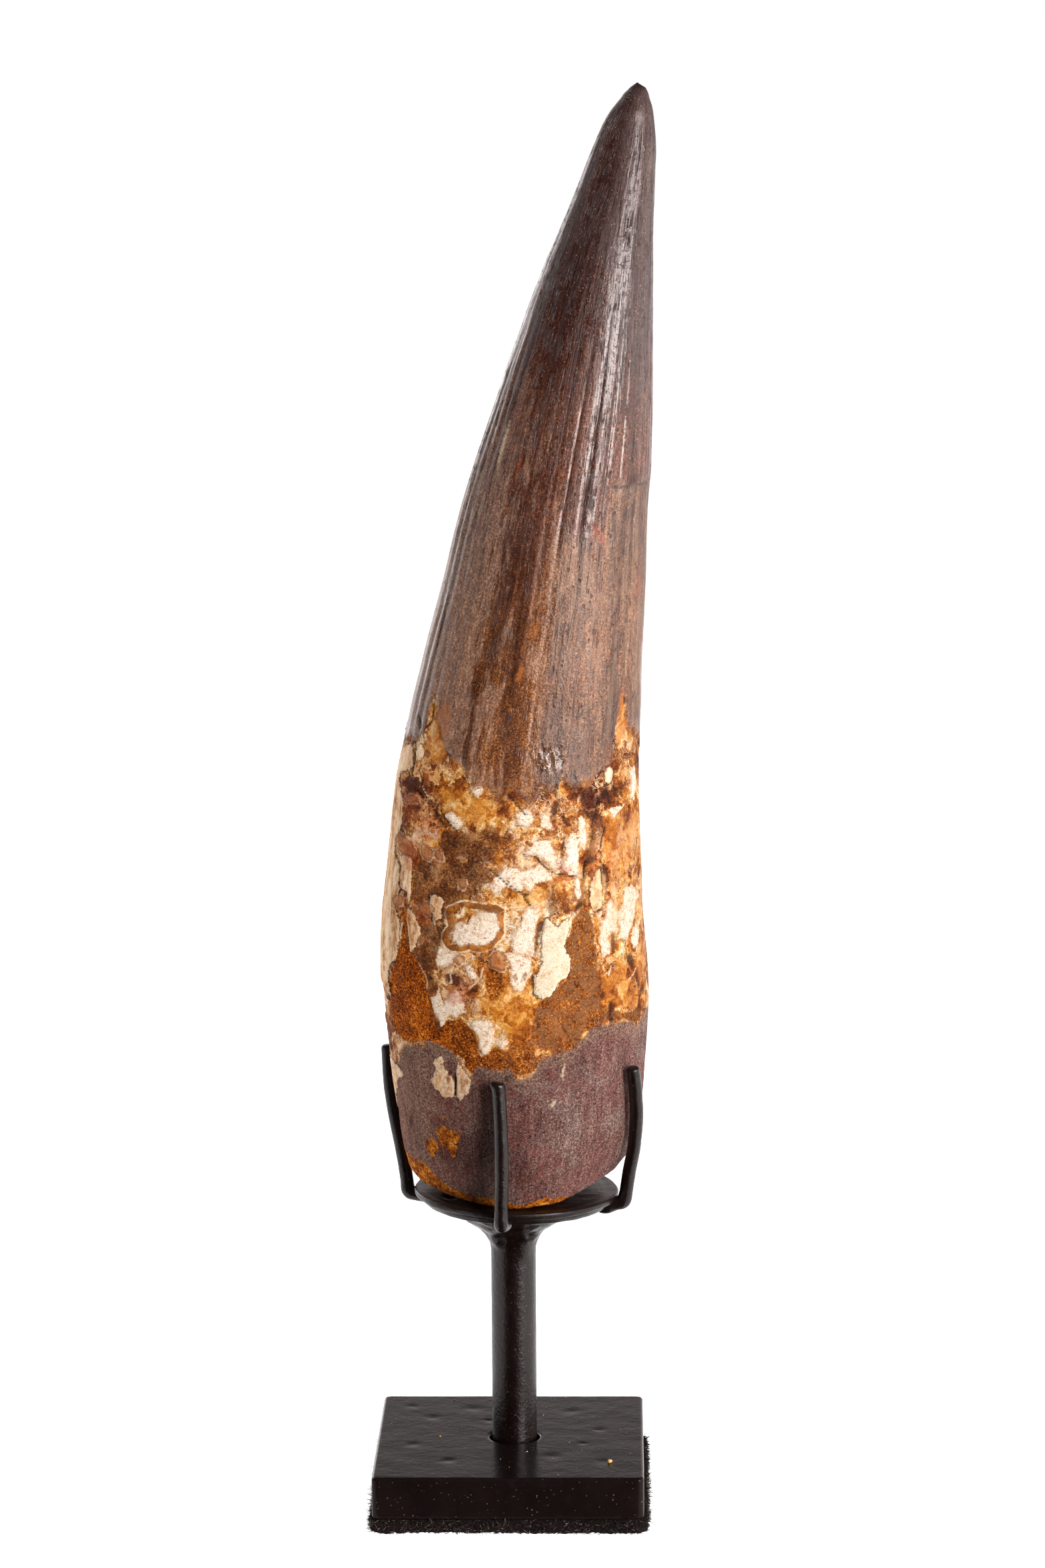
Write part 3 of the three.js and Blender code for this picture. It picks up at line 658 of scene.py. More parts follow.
}
LINES = {
    'crack': [
        [(-16.2, 108.6), (-14.6, 107.6), (-12.9, 106.7), (-11.6, 105.4), (-10.4, 103.9)],
        [(-3.3, 98.2), (-2, 97.2), (-0.6, 96.1), (1, 95.1), (2.3, 94.6)],
        [(1.5, 100.4), (3.1, 100.2), (4.7, 98.6), (6.1, 97.6), (7.8, 97.2), (9.6, 96.9)],
        [(-18.5, 115.6), (-17.7, 113.5), (-17.8, 111.8), (-18.1, 110.8)],
        [(-17.9, 119.3), (-17.1, 117.7)],
        [(-11.4, 106.4), (-10.5, 105.3), (-9.5, 104.4), (-8.6, 103.7)],
        [(14.3, 117.4), (14.6, 116), (15.1, 114.2)],
        [(-1.2, 109.2), (-0.1, 108.1), (1, 106.9), (1.6, 106.3)],
        [(12.2, 91.3), (13.1, 91.4), (14.3, 91.7)],
        [(13.6, 97.8), (13.9, 96.8), (13.8, 95.5)],
        [(14, 109.7), (14.5, 108.3), (14.9, 107)],
        [(10.8, 106.2), (12.1, 104.4), (12.4, 105.8), (12.8, 107.7)],
        [(-9.3, 67.6), (-9.3, 66), (-9.5, 64.3)],
        [(3.1, 82.8), (2.9, 81.3), (3.1, 80.1), (3.6, 79.3)],
        [(25.3, 81.5), (24.7, 80.3), (23.6, 79.3)],
        [(14.3, 103.7), (13.8, 102.2), (13.5, 100.7)],
        [(10.9, 99), (10.7, 97.7), (10.8, 96.7)],
        [(1.3, 95.1), (2, 93.9), (2.7, 93.1)],
        [(-15.8, 117.9), (-14.8, 119.1), (-15, 121)],
        [(8.2, 153.3), (10.1, 153.1), (12.2, 153.1), (15.4, 152.7)],
    ],
    'pale': [
        [(-14.7, 83.7), (-13.5, 82.2), (-13.2, 81), (-13.4, 80)],
        [(-18.1, 89.2), (-18.7, 87.2)],
        [(-15.1, 109.5), (-14.1, 108.4), (-13, 107.8)],
        [(13.9, 83.8), (14.5, 82.5), (15.3, 81.8), (15.7, 83.1)],
        [(-6.4, 80.7), (-5.3, 81.8), (-4.4, 82.6), (-4.2, 84)],
        [(-9.3, 82.7), (-9.2, 81.4), (-10.1, 81)],
        [(-27.3, 78.9), (-23.9, 78.5), (-22.2, 76.8)],
        [(-22.6, 68.9), (-22.7, 67.2)],
        [(18.9, 80.3), (20.3, 80.9), (21.7, 81.9)],
    ],
}
# edge of the enamel and top of the smooth lower root: share of the half perimeter, height
ENAMEL = [
    (-0.432, 115.3), (-0.422, 116.6), (-0.38, 115.9), (-0.346, 115.8), (-0.328, 117.4), (-0.328, 122.1), (-0.323, 119.5),
    (-0.318, 122.6), (-0.292, 121.1), (-0.276, 119.8), (-0.252, 117.7), (-0.226, 115.2), (-0.199, 113.8), (-0.164, 113),
    (-0.144, 112.1), (-0.123, 111), (-0.102, 110.5), (-0.076, 110.3), (-0.054, 108.9), (-0.035, 108.6), (-0.019, 110.4),
    (0.001, 109.2), (0.031, 108.2), (0.059, 108.4), (0.069, 109.6), (0.089, 110), (0.12, 110.2), (0.128, 111.4),
    (0.144, 110.3), (0.168, 110.1), (0.184, 110.8), (0.217, 110.6), (0.239, 111.7), (0.252, 112.6), (0.262, 111.8),
    (0.288, 112.4), (0.298, 113.5), (0.3, 116.2), (0.308, 118.6), (0.326, 121.3), (0.342, 122), (0.357, 119.2),
    (0.368, 117.1), (0.41, 116.8), (0.455, 115.7),
]
LOWER = [
    (-0.475, 65.7), (-0.406, 66.7), (-0.352, 70.4), (-0.307, 71.1), (-0.266, 71), (-0.254, 72.1), (-0.22, 72.1),
    (-0.194, 71.5), (-0.17, 70.9), (-0.15, 69), (-0.126, 67.8), (-0.105, 69), (-0.077, 69.1), (-0.05, 69),
    (-0.015, 68.4), (0.006, 67.4), (0.038, 67.6), (0.056, 68.8), (0.069, 70.3), (0.101, 71.2), (0.138, 71.3),
    (0.168, 71.9), (0.185, 73.2), (0.204, 74.2), (0.245, 74.8), (0.279, 74.5), (0.316, 74.7), (0.355, 73.8),
    (0.38, 73.3), (0.398, 74), (0.425, 74.5), (0.441, 75.1),
]
WORN = [(2.0, 148.6), (3.2, 145.5), (5.2, 145.4), (5.6, 147.0), (7.8, 147.4), (8.1, 150.2), (8.3, 153.2), (15.4, 152.7),
        (19.2, 145.3), (20.9, 135.5), (20.6, 125.9), (23.6, 115.8), (15.4, 120.9), (12.8, 112.6), (6.3, 110.7),
        (2.4, 110.4), (0.8, 127.6), (1.3, 131.6), (1.2, 135.1), (1.4, 136.9), (1.0, 141.2), (1.2, 143.5), (1.5, 145.4),
        (1.5, 147.5)]


def sd_poly(s, z, poly, reach=3.0):
    """signed distance to an outline, positive inside, worked out only near it"""
    P = np.asarray(poly, float)
    out = np.full(len(s), -reach)
    lo, hi = P.min(0) - reach, P.max(0) + reach
    m = (s > lo[0]) & (s < hi[0]) & (z > lo[1]) & (z < hi[1])
    if not m.any():
        return out
    q = np.stack([s[m], z[m]], 1)
    d2 = np.full(len(q), 1e9)
    inside = np.zeros(len(q), bool)
    for i in range(len(P)):
        a, b = P[i], P[(i + 1) % len(P)]
        e = b - a
        w = q - a
        h = np.clip((w @ e) / max(e @ e, 1e-9), 0, 1)
        d2 = np.minimum(d2, ((w - h[:, None] * e) ** 2).sum(1))
        if a[1] != b[1]:
            inside ^= ((a[1] <= q[:, 1]) != (b[1] <= q[:, 1])) \
                & (q[:, 0] < (b[0] - a[0]) * (q[:, 1] - a[1]) / (b[1] - a[1]) + a[0])
    d = np.sqrt(d2)
    out[m] = np.clip(np.where(inside, d, -d), -reach, reach)
    return out


def d_line(s, z, pts, reach=3.0):
    """distance to an open line"""
    P = np.asarray(pts, float)
    out = np.full(len(s), reach)
    lo, hi = P.min(0) - reach, P.max(0) + reach
    m = (s > lo[0]) & (s < hi[0]) & (z > lo[1]) & (z < hi[1])
    if not m.any():
        return out
    q = np.stack([s[m], z[m]], 1)
    d2 = np.full(len(q), 1e9)
    for a, b in zip(P[:-1], P[1:]):
        e = b - a
        w = q - a
        h = np.clip((w @ e) / max(e @ e, 1e-9), 0, 1)
        d2 = np.minimum(d2, ((w - h[:, None] * e) ** 2).sum(1))
    out[m] = np.minimum(np.sqrt(d2), reach)
    return out


def area(poly):
    P = np.asarray(poly, float)
    x, y = P[:, 0], P[:, 1]
    return 0.5 * abs(np.dot(x, np.roll(y, -1)) - np.dot(y, np.roll(x, -1)))


V, F, T, Z, S, HALF = tooth_grid()          # HALF is half the perimeter at each point's height
N = vertex_normals(V, F)
U = np.stack([12 * np.cos(math.pi * T), 12 * np.sin(math.pi * T), Z], 1)     # streaks follow this: it converges at the tip
edge_a = perlin(V / 1.7, 11)
edge_b = perlin(V / 0.75, 12)
edge_c = perlin(V / 4.2, 13)
front = 1 - smooth(0.50, 0.56, np.abs(T))
rear = 1 - front
ARC = S * (1 - smooth(0.54, 0.96, np.abs(T)))        # as S, but it dies out at the back so that nothing changes abruptly there


def marks(key, a=0.42, b=0.24):
    best = np.full(len(S), -3.0)
    for poly in AREAS.get(key, []):
        k = min(1.0, math.sqrt(area(poly)) / 5.0)
        d = sd_poly(S, Z, poly)
        near = d > -2.9
        d = np.where(near, d + k * (a * edge_a + b * edge_b), d)
        best = np.maximum(best, d)
    return best


def rear_marks(size, level, seed, stretch=1.0, z0=72.0, z1=112.0):
    """the same kind of mark, seeded, for the side that faces away"""
    q = V / size
    q[:, 2] /= stretch
    n = fbm(q, 3, 0.5, seed)
    band = smooth(z0 - 3, z0 + 2, Z) * (1 - smooth(z1 - 2, z1 + 4, Z))
    return np.clip((n - level) * size * 1.1 - (1 - band * rear) * 4.0, -3, 3)


sd = {k: marks(k) for k in ("white", "pale", "tan", "ochre", "sand", "grey", "dark")}
sd["knot"] = marks("knot", 0.18, 0.1)
sd["ring"] = marks("ring", 0.2, 0.12)
sand_back = rear_marks(12.0, 0.14, 24, 1.2, 66.0, 98.0)
sd["white"] = np.maximum(sd["white"], np.minimum(rear_marks(8.0, 0.21, 21, 1.3), -0.5 - sand_back))
sd["tan"] = np.maximum(sd["tan"], rear_marks(10.0, 0.20, 22, 1.5, 68.0, 116.0))
sd["ochre"] = np.maximum(sd["ochre"], rear_marks(9.0, 0.16, 23, 1.1))
sd["sand"] = np.maximum(sd["sand"], sand_back)
sd["dark"] = np.maximum(sd["dark"], rear_marks(5.0, 0.34, 25, 1.6, 90.0, 124.0))
sd["grey"] = np.maximum(sd["grey"], rear_marks(7.0, 0.30, 26, 1.4))


def border(points, back):
    p = sorted(points + back)
    p = [(p[-1][0] - 2, p[-1][1])] + p + [(p[0][0] + 2, p[0][1])]
    return np.interp(T, [v[0] for v in p], [v[1] for v in p])


enamel_edge = border(ENAMEL, [(-0.5, 115), (-0.56, 117.5), (-0.62, 113), (-0.7, 118.5), (-0.78, 114.5), (-0.86, 119),
                              (-0.94, 116), (-1, 118), (0.93, 115), (0.85, 119.5), (0.77, 116), (0.7, 120), (0.62, 117),
                              (0.56, 113), (0.5, 114.5)])
lower_edge = border(LOWER, [(-0.5, 65), (-0.56, 68), (-0.65, 72), (-0.75, 70), (-0.85, 74), (-0.95, 71), (-1, 72.5),
                            (0.9, 70), (0.8, 73.5), (0.7, 71), (0.6, 75), (0.52, 76)])
streak_n = perlin(np.stack([U[:, 0] / 0.9, U[:, 1] / 0.9, U[:, 2] / 9.0], 1), 31)
enamel = np.clip(Z - enamel_edge + 0.9 * edge_a + 0.5 * edge_b + 1.3 * streak_n, -6, 6)
lower = np.clip(lower_edge - Z + 0.7 * edge_a + 0.35 * edge_b, -6, 6)
worn = np.clip(sd_poly(S, Z, WORN, 4.0) + 0.8 * edge_a + 0.4 * edge_b + 1.2 * streak_n, -4, 4)
worn = np.maximum(worn, rear * np.clip(9 * (fbm(U / np.array([4.0, 4.0, 22.0]), 3, 0.5, 33) - 0.12), -4, 4)
                  * smooth(112, 122, Z) * (1 - smooth(150, 165, Z)) - 4 * (1 - rear))

crack = np.full(len(S), -2.0)
wob = 0.16 * edge_a + 0.09 * edge_b
for pts in LINES["crack"]:
    crack = np.maximum(crack, 0.0 - d_line(S + wob, Z + 0.12 * edge_c, pts, 2.0))
crack = np.maximum(crack, -d_line(S, Z + 0.25 * edge_b, [(7.6, 153.0), (10.5, 152.6), (13, 153.2), (16.5, 152.9)], 2.0))
pale_line = np.full(len(S), -2.0)
for pts in LINES["pale"]:
    pale_line = np.maximum(pale_line, -d_line(S + wob, Z, pts, 2.0))

# ------------------------------------------------------------------ tooth: relief
# flutes and striations of the enamel
TAU = 2 * math.pi
RIDGES = np.array([-0.47, -0.425, -0.38, -0.335, -0.285, -0.24, -0.19, -0.14, -0.084, -0.040, -0.003, 0.074, 0.146, 0.205, 0.262,
                   0.32, 0.38, 0.435, 0.49, 0.56, 0.64, 0.72, 0.80, 0.87, 0.95, 1.03, 1.11, 1.18, 1.26, 1.33, 1.40, 1.46, 1.53])
BOLD = np.array([1.0, 0.9, 1.0, 0.9, 0.7, 0.5, 0.5, 0.6, 0.6, 0.6, 0.9, 1.2, 1.2, 1.0, 1.0, 0.7, 0.5, 0.5, 0.5, 0.6, 0.8, 0.6,
                 0.9, 0.7, 1.0, 0.8, 0.7, 1.0, 0.8, 0.9, 0.6, 0.7, 0.6])
warp = 0.010 * perlin(np.stack([U[:, 0] / 9, U[:, 1] / 9, U[:, 2] / 30], 1), 41)
turn = T + warp + 0.00035 * (Z - 155) * np.exp(-((T - 0.1) / 0.12) ** 2) * -1
turn = np.where(turn < -0.47, turn + 2, turn)
valley = (RIDGES[1:] + RIDGES[:-1]) / 2
k = np.clip(np.searchsorted(valley, turn), 1, len(valley) - 1)
f = np.clip((turn - valley[k - 1]) / (valley[k] - valley[k - 1]), 0, 1)
rnd = BOLD[k]
flute = 1 - np.abs(2 * f - 1) ** (1.5 + 2.7 * smooth(-0.30, -0.24, T))
fade = smooth(108, 124, Z) * (1 - smooth(158, 183, Z))
waver = 1 + 0.55 * perlin(np.stack([k * 7.3, k * 3.1, Z / 6.5], 1), 47)
strength = fade * rnd * waver * (1 - 0.60 * smooth(-0.5, 1.0, worn))
slim = np.clip(HALF / 38.0, 0.12, 1.0) ** 1.6
short_n = perlin(np.stack([U[:, 0] / 0.55, U[:, 1] / 0.55, U[:, 2] / 5.5], 1), 48)
fine = perlin(np.stack([U[:, 0] / 0.55, U[:, 1] / 0.55, U[:, 2] / 16], 1), 42)
fine2 = perlin(np.stack([U[:, 0] / 1.15, U[:, 1] / 1.15, U[:, 2] / 24], 1), 43)
ripple = fbm(np.stack([U[:, 0] / 1.1, U[:, 1] / 1.1, U[:, 2] / 1.1], 1), 2, 0.5, 44)
weave = perlin(V / np.array([0.75, 0.75, 2.0]), 49)
disp = 0.15 * (1 + 0.35 * smooth(-0.26, -0.32, T)) * strength * (flute - 0.8) + 0.022 * weave * smooth(160, 172, Z) * (1 - smooth(200, 207, Z)) + smooth(108, 124, Z) * slim * (0.026 * fine + 0.032 * fine2
       + 0.060 * np.exp(-((T + 0.01) / 0.09) ** 2) * smooth(133, 140, Z) * smooth(172, 160, Z) * short_n) \
    + 0.022 * ripple * smooth(110, 120, Z)
# cutting edges
car = -0.36 + 0.012 * np.sin(Z / 23.0)
for centre, full, upper in ((car, 0.30, 0.60), (car + 1.0, 1.0, 1.0)):
    dd = (np.mod(T - centre + 1, 2) - 1) * HALF
    keel = np.exp(-(dd / 0.48) ** 2)
    disp += (0.15 + 0.06 * edge_b) * (full + (upper - full) * smooth(164, 169, Z)) * keel * smooth(114, 126, Z) * (1 - smooth(203, 208.5, Z))
# the right front is fuller towards the tip
disp += 0.44 * np.exp(-((T - 0.27) / 0.12) ** 2) * smooth(158, 180, Z) * slim ** 0.5 * (1 - smooth(200, 208, Z))
# broad unevenness
taper = 1 - smooth(200, 209, Z)
disp += (0.16 * fbm(V / 9.0, 2, 0.5, 45) + 0.05 * perlin(V / 3.2, 46)) * (1 - 0.55 * smooth(112, 130, Z)) * taper

root = 1 - smooth(-0.4, 0.4, enamel)
low = smooth(-0.35, 0.35, lower)
mid = root * (1 - low)


def edge(key, w=0.16, at=0.0):
    return smooth(at - w, at + w, sd[key])


grit = perlin(V / 0.62, 51)
grit2 = perlin(V / 0.36, 52)
flaky = fbm(V / np.array([2.4, 2.4, 3.6]), 3, 0.55, 53)
disp += 0.24 * smooth(-0.25, 0.3, enamel)
disp += mid * (0.10 * flaky + 0.045 * grit)
sandy = edge("sand", 0.3) * mid
level = mid * (-0.14 * sandy)
level = np.where(sd["tan"] > -0.3, np.maximum(level, 0.20 * edge("tan")), level)
level = np.where(sd["pale"] > -0.3, np.maximum(level, 0.18 * edge("pale")), level)
level = np.where(sd["white"] > -0.3, np.maximum(level, 0.16 * edge("white")), level)
level = np.where(sd["knot"] > -0.3, np.maximum(level, 0.16 * edge("knot", 0.25)), level)
disp += level
disp += sandy * (0.075 * grit + 0.06 * grit2)
disp -= 0.26 * edge("dark", 0.35) * (1 - smooth(0.5, 2.0, enamel))
disp += 0.10 * edge("ring", 0.2) * mid
# lower root: gently striated, sandy on the left
stria = perlin(np.stack([U[:, 0] / 0.8, U[:, 1] / 0.8, U[:, 2] / 7.0 + U[:, 0] * 0.05], 1), 54)
disp += low * (0.05 * stria + 0.028 * grit + 0.02 * grit2)
# cracks
disp -= 0.30 * np.exp(-(np.minimum(crack, 0) / 0.17) ** 2)
# sparkly pitted spot at the bottom of the enamel
spot = np.clip(1 - np.hypot((S - 4.4) / 3.3, (Z - 114.1) / 2.7), 0, 1)
pits = worley(V / 0.62, 61)[0]
disp -= 0.30 * smooth(0.0, 0.5, spot) * smooth(0.5, 0.2, pits)
disp += 0.17 * smooth(0.0, 0.5, spot) * perlin(V / 0.7, 65)
# small holes in the worn enamel
hole = worley(V / 1.25, 62)[0]
hole_seed = perlin(V / 2.4, 63)
pit = smooth(0.26, 0.14, hole) * smooth(0.0, 0.35, hole_seed)
disp -= 0.12 * pit * smooth(-0.3, 0.6, worn) * smooth(126, 122, Z)
# broken underside
under = smooth(51.5, 49.0, Z)
disp += under * (0.22 * fbm(V / 2.6, 3, 0.55, 64) + 0.06 * grit)
disp = np.where(Z < 48.6, np.clip(disp, -0.4, 0.05 + 0.12 * np.abs(S) / 20), disp)
P = V + N * disp[:, None]
# the broken edge climbs towards the right
P[:, 2] += 1.15 * smooth(5, 17, S) * smooth(27, 21, S) * smooth(54.0, 49.5, Z)
# nothing goes below the disc's top
floor_z = DISC_TOP - math.tan(TILT) * (P[:, 0] - DISC_X) + 0.02
P[:, 2] = np.maximum(P[:, 2], floor_z)

# orange rust at the foot of the lower root, and the small extra marks
RUST = [[(-13.2, 58.4), (-12.7, 59.0), (-11.3, 59.2), (-10.2, 58.5), (-8.9, 58.6), (-9.1, 57.2), (-9.7, 56.2),
         (-10.1, 54.4), (-10.9, 55.4), (-12.1, 55.9), (-13.0, 57.2)],
        [(-15.9, 56.4), (-14.4, 56.9), (-12.8, 56.1), (-13.5, 54.9), (-14.3, 53.9), (-15.2, 54.9)],
        [(-12.4, 60.6), (-11.9, 60.9), (-11.6, 60.4), (-12.1, 60.1)]]
rust = np.full(len(S), -3.0)
for poly in RUST:
    d = sd_poly(S, Z, poly)
    rust = np.maximum(rust, np.where(d > -2.9, d + 0.45 * edge_a + 0.75 * edge_b, d))
rim = 49.0 + 3.6 * smooth(-8.5, -17.5, ARC) - 0.9 * smooth(-2.0, 1.5, ARC) + 0.9 * np.exp(-((S - 4.6) / 2.6) ** 2) \
    + 1.9 * smooth(20, 27, np.abs(S)) + 1.0 * rear * edge_c - 2.2 * smooth(7.5, 10.5, S) * smooth(25, 20, S)
rust = np.maximum(rust, np.clip(rim - Z + 0.5 * edge_a + 0.3 * edge_b, -3, 3))
MARKS = [  # small marks: kind, centre, half length, half width, angle in degrees from upright
    ("streak", -9.7, 158.6, 2.9, 0.34, 4), ("amber", -0.3, 132.6, 1.2, 0.55, 20), ("amber", -1.4, 126.5, 1.2, 0.5, 12),
    ("amber", 15.6, 121.2, 2.4, 0.7, -6), ("amber", 16.9, 117.6, 1.4, 0.8, 0), ("amber", -12.7, 118.6, 3.4, 1.5, 8),
    ("redspot", 7.3, 146.1, 1.9, 0.55, -38), ("redspot", 16.9, 138.0, 2.2, 0.4, -12), ("streak", 7.15, 68.3, 0.9, 0.22, 10),
    ("streak", 5.4, 63.5, 0.5, 0.3, 20), ("dirt", -19.3, 58.6, 1.1, 0.5, 15), ("redspot", -6.2, 156.0, 1.2, 0.3, 8),
    ("streak", 13.2, 181.5, 1.3, 0.35, -4)]
small = {k: np.full(len(S), -3.0) for k in ("streak", "amber", "redspot", "dirt")}
for kind, cs, cz, hl, hw, ang in MARKS:
    a = math.radians(ang)
    ds, dz = S - cs, Z - cz
    u = ds * math.sin(a) + dz * math.cos(a)
    v = ds * math.cos(a) - dz * math.sin(a)
    q = np.hypot(u / hl, v / hw)
    small[kind] = np.maximum(small[kind], np.clip((1 - q) * hw * 1.2 + 0.12 * edge_b, -3, 3))

# ------------------------------------------------------------------ tooth: tone of the mottled root, by place
# distance round, height, half width, half height, tone, warmth
TONE = [
    (-11, 108, 5, 4.5, -0.18, 0.40), (-4, 106, 4.5, 4, -0.05, 0.55), (4, 107, 3, 3, 0.15, 0.1), (-5.5, 99.5, 6, 4.5, -0.95, -0.1),
    (-11.5, 96, 5, 6, -0.85, 0.0), (3.2, 99, 3.5, 4.5, 0.55, 0.0), (9, 103, 3, 6, 0.1, 0.1), (15.5, 97, 5.5, 8, 0.0, 0.8),
    (16.5, 107.5, 4, 4, -0.30, 0.3), (21, 100, 3, 10, -0.15, 0.7), (-3, 93.5, 3.5, 2.2, 0.60, 0.8), (-13, 101.2, 2.6, 2.8, 0.35, 0.3), (2.5, 90, 5, 5, 0.55, 0.2), (-3.5, 84, 4.5, 4, -0.2, 0.3),
    (9.5, 84, 3.4, 7, -0.75, 0.2), (17.5, 84, 4, 7, 0.05, 1.1), (-1.5, 77.4, 3, 2.6, 0.25, 0.8), (-16, 84, 3.5, 9, -0.8, 0.6), (3.0, 78.5, 5, 4.5, 0.1, 1.1),
    (-2, 74, 4.5, 3.5, -0.4, 0.8), (12, 76, 5, 3, -0.5, 0.7), (-20, 92, 3.5, 14, 0.35, 0.05), (-16, 104, 3.5, 8, 0.1, 0.1),
    (11.8, 108.3, 2.4, 3.2, -0.8, -0.4), (6.5, 110.5, 3, 1.5, -0.2, 0.0), (20.5, 77.5, 4, 4, -0.50, 0.6), (16.4, 107.6, 2.0, 3.0, -0.35, -0.2), (-0.8, 95.0, 1.8, 1.5, 0.55, 0.3),
    (-16.5, 103, 3.0, 4.5, 0.25, 0.1), (-14.5, 111, 3.5, 3, 0.1, 0.3), (-9, 56.0, 5, 4, -1.0, 0.2), (0.5, 53.5, 3.0, 5, -0.5, 0.2),
    (-15.5, 62, 3.5, 6, 0.20, 0), (-14.2, 102.6, 3.0, 3.2, 0.20, 0.05), (-10.6, 100.7, 2.6, 3.6, 0.55, 0.15), (-13.7, 117.1, 3.0, 3.2, 0.45, -0.25)]
MAROON = [(-17.5, 106.5, 2.6, 3.2, 1.0), (-14.0, 103.6, 2.6, 2.4, 0.8), (-11.2, 100.4, 2.4, 2.0, 0.45), (-16.5, 99.5, 2.2, 2.6, 0.7), (-14.5, 110.5, 2.5, 2.5, 0.5),
          (-7.8, 80.5, 2.4, 2.4, 0.9), (-13.5, 90.5, 2.0, 2.4, 0.5), (11.8, 107.5, 2.0, 2.2, 0.6), (16.0, 99.0, 1.4, 5.0, 0.5), (12.3, 99.0, 0.9, 4.0, 0.6),
          (7.6, 97.5, 1.3, 2.2, 0.6), (19.5, 81.5, 1.6, 1.6, 0.6)]
maroon = np.zeros(len(S))
for cs, cz, rs, rz, v in MAROON:
    maroon = np.maximum(maroon, v * np.exp(-((S - cs) / rs) ** 2 - ((Z - cz) / rz) ** 2) * front)
maroon = np.maximum(maroon, 0.9 * rear * smooth(0.15, 0.5, fbm(V / 5.0, 2, 0.5, 74)))
tone = 0.25 * edge_c
warm = 0.15 * perlin(V / 6.0, 71)
for cs, cz, rs, rz, v, w in TONE:
    g = np.exp(-((S - cs) / rs) ** 2 - ((Z - cz) / rz) ** 2) * front
    tone += v * g
    warm += w * g
tone = np.clip(tone + rear * (0.8 * fbm(V / 9.0, 2, 0.5, 72)), -1.2, 1.2)
warm = np.clip(warm + rear * (0.3 + 0.8 * fbm(V / 11.0, 2, 0.5, 73)), -0.6, 1.2)

tooth = make_mesh("tooth_fossil", P, F, {
    **{k: v for k, v in sd.items()}, "enamel": enamel, "lower": lower, "worn": worn, "crack": crack, "paleline": pale_line,
    "rust": rust, "maroon": maroon, "tone": tone, "warm": warm, "streak": small["streak"], "amber": small["amber"],
    "redspot": small["redspot"], "dirt": small["dirt"], "height": Z, "flow": U,
    "spot": spot, "turn": np.sin(math.pi * T), "arc": ARC})


